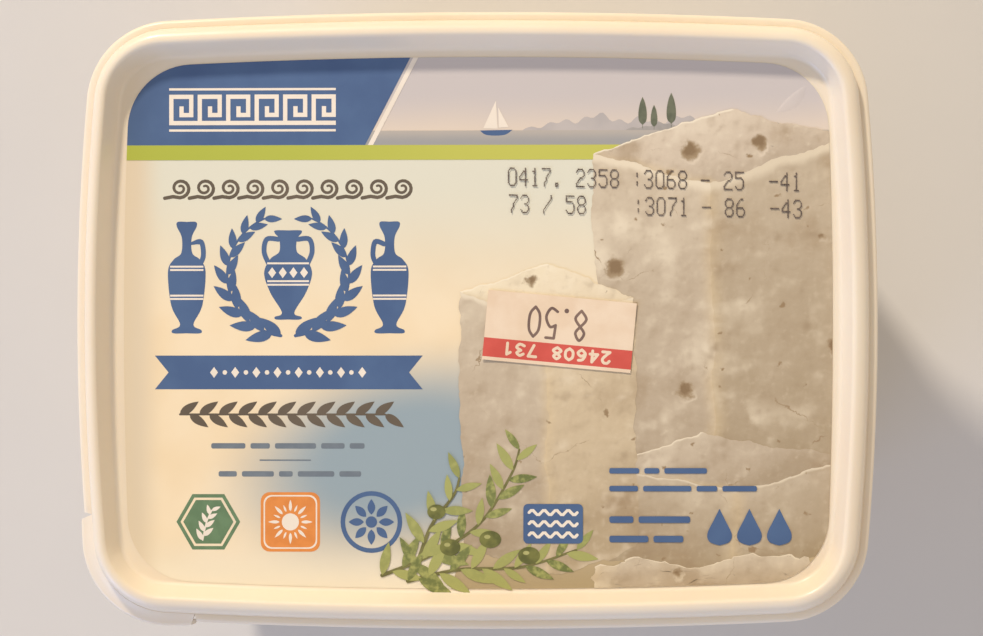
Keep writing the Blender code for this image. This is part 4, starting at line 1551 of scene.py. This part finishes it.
FACE_TREE = face_tree()
print("the tree of a face has", len(FACE_TREE.nodes), "nodes")


# %% Lumps, pits and cracks of the cheese
def raised_lumps(tree, place, light):
    """Layers that make lumps of three sizes look raised: light on one side, dark on the other."""
    layers = []
    for size, across, up, slope in (
        (8.0, 1.1, -1.3, 0.4),
        (3.2, 0.45, -0.55, 0.68),
        (1.1, 0.14, -0.17, 1.3),
    ):
        sides = []
        for offset in ((0.0, 0.0, 0.0), (across * MM, up * MM, 0.0)):
            moved = add_node(tree, VECTOR_MATH, {"operation": "ADD", 0: place, 1: offset})
            lump = {"Scale": 1 / (size * MM), "Detail": 3.0, "Roughness": 0.6, "Vector": moved}
            sides.append(add_node(tree, NOISE, lump))
        tilt = add_node(tree, MATH, {"operation": "SUBTRACT", 0: sides[0], 1: sides[1]})
        layers += [(tilt, 0.0, slope, light), (tilt, 0.0, -slope, "A08C70")]
    return layers


def pits(tree, place, light):
    """Layers of pits: a pale lip below, the hollow, its dark upper side, and small pits between."""
    layers = []
    for cell, drop, ink, reach, soft in (
        (13.0, 0.45, light, 0.17, 0.05),
        (13.0, 0.0, "A48F70", 0.17, 0.07),
        (13.0, -0.25, "8C7556", 0.12, 0.06),
        (5.0, 0.0, "9A8362", 0.13, 0.07),
    ):
        moved = {"operation": "ADD", 0: place, 1: (-drop / 2 * MM, drop * MM, 0.0)}
        moved = add_node(tree, VECTOR_MATH, moved)
        cells = {"voronoi_dimensions": "2D", "Scale": 1 / (cell * MM), "Vector": moved}
        cells = add_node(tree, "ShaderNodeTexVoronoi", cells)
        rarity = add_node(tree, SEPARATE, {"Vector": cells.outputs["Color"]}).outputs["X"]
        size = {"Value": rarity, "From Min": 0.6, "From Max": 1.0, "To Min": 0.0, "To Max": reach}
        size = add_node(tree, MAP_RANGE, size)
        inside = {"operation": "SUBTRACT", 0: size, 1: cells.outputs["Distance"]}
        layers.append((add_node(tree, MATH, inside), 0.0, soft, ink))
    return layers


def cracks(tree, place, clouds):
    """A layer of fine cracks, which open only where the clouds are dense."""
    edges = {"voronoi_dimensions": "2D", "feature": "DISTANCE_TO_EDGE", "Scale": 1 / (17 * MM)}
    edges = add_node(tree, "ShaderNodeTexVoronoi", {**edges, "Vector": place})
    opening = {"Value": clouds, "From Min": 0.5, "From Max": 0.68, "To Min": 0.0, "To Max": 0.014}
    opening = add_node(tree, MAP_RANGE, opening)
    inside = {"operation": "SUBTRACT", 0: opening, 1: edges.outputs["Distance"]}
    return [(add_node(tree, MATH, inside), 0.0, 0.012, "A08A6B")]


# %% Ink of the cheese faces
def cheese_ink(name, foot, middle, head, edge):
    """Print of a cut cheese face: three tones from foot to head, raised lumps, pits, pale edges."""
    material, tree, shader, place = film_surface(name)
    spot = add_node(tree, "ShaderNodeAttribute", {"attribute_name": "face_place"}).outputs["Vector"]
    parts = add_node(tree, SEPARATE, {"Vector": spot}).outputs
    bent = {"Scale": 1 / (2.2 * MM), "Detail": 4.0, "Roughness": 0.6, "Vector": place}
    bent = add_node(tree, NOISE, bent).outputs["Color"]
    warp = {"operation": "MULTIPLY_ADD", 0: bent, 1: (3.4 * MM, 2.2 * MM, 0.0), 2: place}
    bent_place = add_node(tree, VECTOR_MATH, warp)
    clouds = {"Scale": 1 / (9 * MM), "Detail": 4.0, "Roughness": 0.6, "Vector": place}
    clouds = add_node(tree, NOISE, clouds)
    height = add_node(tree, MATH, {"operation": "MULTIPLY_ADD", 0: clouds, 1: 0.7, 2: parts["Y"]})
    patches = {"Scale": 1 / (13 * MM), "Detail": 3.0, "Roughness": 0.5, "Vector": bent_place}
    patches = add_node(tree, NOISE, patches)
    layers = [(height, 0.3, 0.9, middle), (height, 0.9, 1.45, head), (parts["X"], 0.13, -0.12, "DCC8A0")]
    layers += [(patches, 0.54, 0.8, "A58F70"), (patches, 0.42, 0.2, edge)]
    layers += raised_lumps(tree, place, edge)
    layers += pits(tree, bent_place, head)
    layers += cracks(tree, bent_place, clouds)
    layers.append((parts["Y"], 0.965, 0.992, edge))
    connect(tree, layered(tree, foot, layers), shader.inputs["Base Color"])
    return material


lit_ink = cheese_ink("gravure_cheese_lit", "C3B49D", "D5C7B1", "DFD2BC", "F3EAD3")
half_ink = cheese_ink("gravure_cheese_half_lit", "AE9D82", "C3B49C", "D5C8B0", "EADFC6")
shade_ink = cheese_ink("gravure_cheese_shaded", "A49273", "B7A78C", "C8BAA1", "E0D4BA")
warm_ink = cheese_ink("gravure_cheese_warm", "B6A484", "CFBE9E", "E0D0B0", "EDE1C7")
top_ink = cheese_ink("gravure_cheese_top", "E8D9BA", "EFE2C4", "F3E8CA", "FAF1D8")
print("a cheese ink has", len(lit_ink.node_tree.nodes), "nodes")


# %% A closed body from a flat sheet
def thicken(mesh, thickness, boundary=()):
    """Cut a flat sheet off at a boundary and make it a closed body."""
    shape = bmesh.new()
    shape.from_mesh(mesh)
    for start, end in zip(boundary, boundary[1:] + boundary[:1]):
        side = Vector((end[1] - start[1], start[0] - end[0], 0.0)).normalized()
        edge = Vector((*start, 0.0)) * MM
        if any((vert.co - edge).dot(side) > 0 for vert in shape.verts):
            everything = shape.verts[:] + shape.edges[:] + shape.faces[:]
            bmesh.ops.bisect_plane(shape, geom=everything, plane_co=edge, plane_no=side, clear_outer=True)
    raised = bmesh.ops.extrude_face_region(shape, geom=shape.faces[:], use_keep_orig=True)
    verts = [item for item in raised["geom"] if isinstance(item, bmesh.types.BMVert)]
    bmesh.ops.translate(shape, verts=verts, vec=(0.0, 0.0, thickness))
    shape.to_mesh(mesh)
    shape.free()
    return face_outwards(mesh)


# %% Three blocks of cheese on a board
board_ink = gravure_ink("gravure_tan_board", "C3B08C", "B3A27E", ("Y", -40, -47), 5.0)
BLOCK_CRUMBLE = 0.55
CRUMBS_CRUMBLE = 1.1
Block = namedtuple("Block", "name corner right left up level inks")
tall_inks = (half_ink, shade_ink, lit_ink)
low_inks = (shade_ink, shade_ink, half_ink)
front_inks = (half_ink, warm_ink, top_ink)
BLOCKS = (
    Block("tall", (42.0, -43.0), (24.0, 8.0), (-20.5, 5.0), (-1.2, 67.0), 9, tall_inks),
    Block("low", (45.0, -45.2), (20.0, 5.6), (-26.0, 4.4), (0.2, 15.5), 11, low_inks),
    Block("front", (12.6, -44.6), (15.5, 4.8), (-15.0, 5.6), (-0.6, 44.0), 13, front_inks),
)
print_shapes("print_board", [strip(-8.0, -60.0, 70.0, -38.0, 6.0)], 8, board_ink)
faces = [("crumbs", (20.0, -48.0), (37.0, 0.8), (1.0, 5.6), 15, half_ink, CRUMBS_CRUMBLE)]
for name, corner, right, left, up, level, inks in BLOCKS:
    head = (corner[0] + up[0], corner[1] + up[1])
    faces.append((name + "_left", corner, left, up, level, inks[0], BLOCK_CRUMBLE))
    faces.append((name + "_right", corner, right, up, level, inks[1], BLOCK_CRUMBLE))
    faces.append((name + "_top", head, right, left, level + 1, inks[2], BLOCK_CRUMBLE))
for name, corner, first, second, level, ink, crumble in faces:
    bottom, top = ink_heights(level)
    values = {
        "Corner": (corner[0] * MM, corner[1] * MM, bottom),
        "First edge": (first[0] * MM, first[1] * MM, 0.0),
        "Second edge": (second[0] * MM, second[1] * MM, 0.0),
        "Crumble": crumble * MM,
        "Fine crumble": crumble / 2 * MM,
        "Material": ink,
    }
    face = grow("print_cheese_" + name, bpy.data.meshes.new("empty"), FACE_TREE, values)
    print("face: open edges and volume", thicken(face.data, top - bottom, EDGE))
    finish_piece(face)

# %% [markdown]
# Olive sprig
#
# A sprig of olive lies at the foot of the blocks. Three stems carry slender leaves on both sides,
# and each leaf has a tone of its own between two greens. The olives are ovals with a paler spot.

# %% Ink of the leaves
SPRIG_LEVEL = 16
LEAF_SPACING = 1.75
STEMS = (
    ((-16.5, -44.5), (-8.0, -41.0), (0.5, -35.5), (6.0, -27.0), (7.5, -22.5)),
    ((-12.0, -45.5), (-3.0, -43.5), (8.0, -43.0), (17.5, -40.0)),
    ((-10.5, -43.0), (-8.0, -36.0), (-4.0, -30.5), (-3.0, -27.5)),
)
OLIVES = ((2.4, -38.2, 1.9, 1.5), (-4.6, -39.6, 1.8, 1.45), (9.2, -41.0, 1.9, 1.5), (-7.0, -33.4, 1.6, 1.3))
stem_ink = gravure_ink("gravure_olive_stem", "7C7A48", "6D6B3C", cloud=2.0)
olive_ink = gravure_ink("gravure_olive_fruit", "5C6130", "7C7F42", cloud=2.5)
shine_ink = gravure_ink("gravure_olive_shine", "B5B577", "A9AA6B", cloud=1.5)


def leaf_ink(name, dark, light):
    """Green ink whose tone is stored on each leaf, with light specks."""
    material, tree, shader, place = film_surface(name)
    tone = add_node(tree, "ShaderNodeAttribute", {"attribute_name": "tone"}).outputs["Fac"]
    specks = add_node(tree, NOISE, {"Scale": 1 / MM, "Detail": 3.0, "Vector": place})
    tint = layered(tree, dark, [(tone, 0.0, 1.0, light), (specks, 0.4, 0.75, light)])
    connect(tree, tint, shader.inputs["Base Color"])
    return material


sprig_ink = leaf_ink("gravure_olive_leaves", "69743F", "ABAF68")
print("the leaves' ink has", len(sprig_ink.node_tree.nodes), "nodes")

# %% Sprig with olives
for number, points in enumerate(STEMS, start=1):
    path = smooth_path(points, 8)
    count = int(sum(dist(near, far) for near, far in zip(path, path[1:])) / LEAF_SPACING)
    print_shapes(f"print_stem_{number}", [stroke(path, 0.7, 0.35)], SPRIG_LEVEL + number, stem_ink)
    others = {"End size": 0.72, "Jitter": 0.28, "Seed": number}
    leaf = [leaf_outline(6.4, 1.9, 0.85)]
    level = SPRIG_LEVEL + 3 + number
    print_along(f"print_sprig_{number}", leaf, path, count, level, sprig_ink, 0.75, True, **others)
print_shapes("print_olives", [[polygon(*olive)] for olive in OLIVES], SPRIG_LEVEL + 8, olive_ink)
shines = [[polygon(x - 0.5, y + 0.45, 0.55, 0.35, 20)] for x, y, across, up in OLIVES]
print_shapes("print_olive_shines", shines, SPRIG_LEVEL + 9, shine_ink)

# %% [markdown]
# Small blue signs over the picture
#
# Over the foot of the picture stand a tile with waves, rows of short bars, and three drops. They
# are plain signs in the blue of the label.

# %% Tile, bars and drops
SIGN_LEVEL = 26
TILE = (8.2, -38.9, 18.6, -32.0)
WAVE_COUNT = 3
WAVE_PITCH = 1.95
WAVE_HEIGHT = 0.42
WAVE_STEPS = 24
DROP = [(0.0, 0.0), (0.27, 0.1), (0.33, 0.32), (0.16, 0.68), (0.0, 1.0)]
BARS_LEFT = 23.2
HIGHER_BAR = 1.15
DROP_PLACES = (42.4, 47.6, 52.8)
signs = []
for middle, height, lengths in (
    (-26.2, BAR_HEIGHT, (5.2, 2.6, 7.4)),
    (-29.3, BAR_HEIGHT, (5.0, 8.4, 3.6, 6.0)),
    (-34.7, HIGHER_BAR, (4.2, 9.0)),
    (-38.1, HIGHER_BAR, (6.8, 5.2)),
):
    signs += bar_row(BARS_LEFT, middle, height, *lengths)
waves = []
for row in range(WAVE_COUNT):
    middle = TILE[1] + 1.5 + WAVE_PITCH * row
    wave = []
    for step in range(WAVE_STEPS + 1):
        wave.append((TILE[0] + 1.0 + 0.35 * step, middle + WAVE_HEIGHT * sin(step * pi / 3)))
    waves.append(stroke(wave, 0.5))
print_shapes("print_tile", [[box_outline(*TILE, 0.8)]], SIGN_LEVEL, blue_ink)
print_shapes("print_tile_waves", waves, SIGN_LEVEL + 1, white_ink)
print_shapes("print_picture_bars", signs, SIGN_LEVEL, blue_ink)
drops = [mirrored(x, -39.2, 6.4, DROP) for x in DROP_PLACES]
print_shapes("print_drops", drops, SIGN_LEVEL, blue_ink)

# %% [markdown]
# Date rows of ink dots
#
# A filling line jets its date rows onto the finished lid. Each sign fills a grid of five by seven,
# and the nozzles fire once more between two neighbours, so that tiny dots just touch and make thin
# lines. Here the rows hold plain numbers. The lid ran a little askew below the head, so the rows
# sink to the right. Each dot is one instance on a point.

# %% Signs of dots
SIGN_PITCH = 6
SIGN_WIDTH = 5
DOT_PITCH_X = 0.33
DOT_PITCH_Y = 0.5
DOT_RADIUS = 0.135
ROW_SINK = 0.02
DOT_LEVEL = 28
# Each sign is seven rows of five dots, top row first, and every row is a number from 0 to 31
DOT_SIGNS = {
    "0": (14, 17, 17, 17, 17, 17, 14),
    "1": (4, 12, 4, 4, 4, 4, 14),
    "2": (14, 17, 1, 6, 8, 16, 31),
    "3": (14, 17, 1, 6, 1, 17, 14),
    "4": (2, 6, 10, 18, 31, 2, 2),
    "5": (31, 16, 30, 1, 1, 17, 14),
    "6": (6, 8, 16, 30, 17, 17, 14),
    "7": (31, 1, 2, 4, 4, 8, 8),
    "8": (14, 17, 17, 14, 17, 17, 14),
    ":": (0, 4, 4, 0, 4, 4, 0),
    "-": (0, 0, 0, 31, 0, 0, 0),
    "/": (1, 1, 2, 4, 8, 16, 16),
    ".": (0, 0, 0, 0, 0, 12, 12),
    " ": (0, 0, 0, 0, 0, 0, 0),
}
DOT_ROWS = (("0417. 2358 :3068 - 25  -41", 5.6, 26.6), ("73 / 58    :3071 - 86  -43", 5.8, 21.9))
STEPS_TO_NEIGHBOURS = ((1, 0), (0, 1), (1, 1), (-1, 1))
jet_ink = gravure_ink("jet_dye_ink", "6E6157", "5D524A", cloud=0.8)
print(len(DOT_SIGNS), "signs of dots")


# %% Dot rows
def fired_places(text):
    """Columns and rows where the head fires: on each lit place and halfway to its neighbours."""
    lit = []
    for place, sign in enumerate(text):
        for row, bits in enumerate(DOT_SIGNS[sign]):
            for column in range(SIGN_WIDTH):
                if bits >> (SIGN_WIDTH - 1 - column) & 1:
                    lit.append((place * SIGN_PITCH + column, row))
    fired = list(lit)
    for column, row in lit:
        for across, down in STEPS_TO_NEIGHBOURS:
            beside = across * down and ((column + across, row) in lit or (column, row + down) in lit)
            if (column + across, row + down) in lit and not beside:
                fired.append((column + across / 2, row + down / 2))
    return fired


dots = []
for text, left, top in DOT_ROWS:
    for column, row in fired_places(text):
        along = column * DOT_PITCH_X
        dots.append((left + along, top - row * DOT_PITCH_Y - along * ROW_SINK, 0.0, 1.0))
jet_dot = [polygon(0, 0, DOT_RADIUS, corners=8)]
print_on("print_date_dots", jet_dot, dots, DOT_LEVEL, jet_ink, Jitter=0.3, Seed=5)
print(len(dots), "ink dots")

# %% [markdown]
# Price sticker
#
# The sticker is a paper label of 26 by 12 mm from a price gun, put on upside down and askew. Uncoated
# paper is matt and shows its fibres, and the red is a thin flexographic ink that lets them through.
# The paper is one thin sheet, so it has real thickness at its edges, and two of its corners have
# let go a little. Everything on it is drawn in the sticker's own frame and then turned and lifted
# with it. Its numbers are pen strokes: slim ones from the gun, and bold white ones on the red band.

# %% Sizes of the sticker
STICKER_HALF = (13.0, 6.1)
STICKER_TURN = pi - radians(5.3)
STICKER_MIDDLE = (STICKER_LOW + STICKER_HIGH) / 2
STICKER_FOOT = FILM_TOP + (DOT_LEVEL + 2) * INK_STEP
PAPER_THICKNESS = 0.09 * MM
LIFTED_CORNERS = ((STICKER_HALF, 0.22), ((-13.0, -6.1), 0.12))
LIFT_REACH = 5.0
BAND_LOW, BAND_HIGH = 2.2, 5.5
RED_FOOT = STICKER_FOOT + PAPER_THICKNESS + 0.004 * MM
RED_THICKNESS = 0.004 * MM
DIGIT_LIFT = 0.012 * MM
print("middle of the sticker", STICKER_MIDDLE)


# %% Paper and its ink
def label_paper(name, colour, second):
    """Uncoated paper: matt, with fibres that show as fine streaks and a soft relief."""
    material, tree, shader, place = start_material(name, {"Roughness": 0.82, "IOR": 1.45})
    drawn = add_node(tree, VECTOR_MATH, {"operation": "MULTIPLY", 0: place, 1: (1.0, 2.6, 1.0)})
    fibres = {"Scale": 1 / (0.35 * MM), "Detail": 4.0, "Roughness": 0.7, "Vector": drawn}
    fibres = add_node(tree, NOISE, fibres)
    clouds = add_node(tree, NOISE, {"Scale": 1 / (5 * MM), "Detail": 3.0, "Vector": place})
    tint = layered(tree, colour, [(clouds, 0.3, 0.7, second), (fibres, 0.5, 0.9, second)])
    connect(tree, tint, shader.inputs["Base Color"])
    relief = {"Strength": 0.25, "Distance": 0.03 * MM, "Height": fibres}
    connect(tree, add_node(tree, "ShaderNodeBump", relief), shader.inputs["Normal"])
    return material


paper = label_paper("uncoated_label_paper", "F1DFC6", "E9D3B7")
red_ink = label_paper("flexographic_red_on_paper", "D95F54", "D0574C")
digit_ink = label_paper("price_gun_ink", "8A7468", "75615A")
print("papers", paper.name, red_ink.name)


# %% Sheet and red band
def on_sticker(name, mesh, material, replaced=None):
    """Turn a piece of the sticker into place, lift its loose corners and finish it."""
    for vert in mesh.vertices:
        x, y, z = vert.co
        for corner, height in LIFTED_CORNERS:
            nearness = max(0.0, 1.0 - dist((x / MM, y / MM), corner) / LIFT_REACH)
            z += height * MM * nearness**2
        across = x * cos(STICKER_TURN) - y * sin(STICKER_TURN)
        along = x * sin(STICKER_TURN) + y * cos(STICKER_TURN)
        vert.co = (STICKER_MIDDLE.x + across, STICKER_MIDDLE.y + along, z)
    finish_piece(mesh_object(name, mesh), material, replaced)


def paper_sheet(name, bottom, top, foot, thickness, step=0.5):
    """A thin closed sheet as long as the sticker, with enough faces to bend."""
    half = STICKER_HALF[0]
    shape = bmesh.new()
    counts = {"x_segments": round(2 * half / step), "y_segments": round((top - bottom) / step)}
    bmesh.ops.create_grid(shape, **counts, size=0.5)
    for vert in shape.verts:
        vert.co = (vert.co.x * 2 * half * MM, (bottom + (vert.co.y + 0.5) * (top - bottom)) * MM, foot)
    mesh = kept_mesh(name, shape)
    print(name, "open edges and volume", thicken(mesh, thickness))
    return mesh


sheet = paper_sheet("sticker_sheet", -STICKER_HALF[1], STICKER_HALF[1], STICKER_FOOT, PAPER_THICKNESS)
on_sticker("sticker_sheet", sheet, paper, "price_sticker")
band = paper_sheet("sticker_red_band", BAND_LOW, BAND_HIGH, RED_FOOT, RED_THICKNESS)
on_sticker("sticker_red_band", band, red_ink)

# %% Strokes of the digits
# Each digit is a few strokes in a box of one by one, and a stroke of two points is straight
DIGITS = {
    "0": [
        [(0.5, 1), (0.1, 0.8), (0, 0.5), (0.1, 0.2), (0.5, 0)],
        [(0.5, 0), (0.9, 0.2), (1, 0.5), (0.9, 0.8), (0.5, 1)],
    ],
    "1": [[(0.15, 0.8), (0.6, 1)], [(0.6, 1), (0.6, 0)]],
    "2": [
        [(0.05, 0.8), (0.3, 0.98), (0.75, 0.97), (0.95, 0.72), (0.75, 0.45), (0.05, 0)],
        [(0.05, 0), (1, 0)],
    ],
    "3": [
        [(0.05, 0.85), (0.5, 1), (0.9, 0.78), (0.4, 0.54)],
        [(0.4, 0.54), (0.97, 0.3), (0.6, 0), (0, 0.12)],
    ],
    "4": [[(0.7, 1), (0, 0.3)], [(0, 0.3), (1, 0.3)], [(0.7, 1), (0.7, 0)]],
    "5": [
        [(0.9, 1), (0.15, 1)],
        [(0.15, 1), (0.08, 0.56)],
        [(0.08, 0.56), (0.6, 0.62), (1, 0.3), (0.6, 0), (0, 0.1)],
    ],
    "6": [
        [(0.85, 0.95), (0.3, 0.85), (0.02, 0.35), (0.5, 0)],
        [(0.5, 0), (0.97, 0.28), (0.6, 0.57), (0.1, 0.42)],
    ],
    "7": [[(0, 1), (1, 1)], [(1, 1), (0.35, 0)]],
    "8": [
        [(0.5, 0.54), (0.1, 0.76), (0.5, 1), (0.9, 0.76), (0.5, 0.54)],
        [(0.5, 0.54), (0, 0.27), (0.5, 0)],
        [(0.5, 0), (1, 0.27), (0.5, 0.54)],
    ],
}
print(len(DIGITS), "digits")

# %% Numbers on the sticker
Hand = namedtuple("Hand", "width height pitch pen")
GUN_HAND = Hand(1.9, 5.2, 2.95, 0.48)
BAND_HAND = Hand(1.35, 1.95, 2.15, 0.5)
PRICE_FOOT = -3.9
NUMBERS_FOOT = 2.85


def written(text, left, bottom, hand):
    """Digits side by side as pen strokes, with a round dot for a point."""
    width, height, pitch, pen = hand
    strokes = []
    for sign in text:
        for points in DIGITS.get(sign, []):
            path = [(left + across * width, bottom + up * height) for across, up in points]
            strokes.append(stroke(smooth_path(path) if len(path) > 2 else path, pen))
        if sign == ".":
            strokes.append([polygon(left + width / 2, bottom + pen / 2, pen * 0.85, corners=18)])
        left += pitch
    return strokes


price = []
for text, left in (("8", -4.5), (".", -1.9), ("50", 0.6)):
    price += written(text, left, PRICE_FOOT, GUN_HAND)
numbers = written("24608 731", -9.2, NUMBERS_FOOT, BAND_HAND)
for name, strokes, foot, ink in (
    ("sticker_price", price, RED_FOOT, digit_ink),
    ("sticker_numbers", numbers, RED_FOOT + DIGIT_LIFT, paper),
):
    on_sticker(name, plate_mesh(name, strokes, foot, foot + RED_THICKNESS), ink)
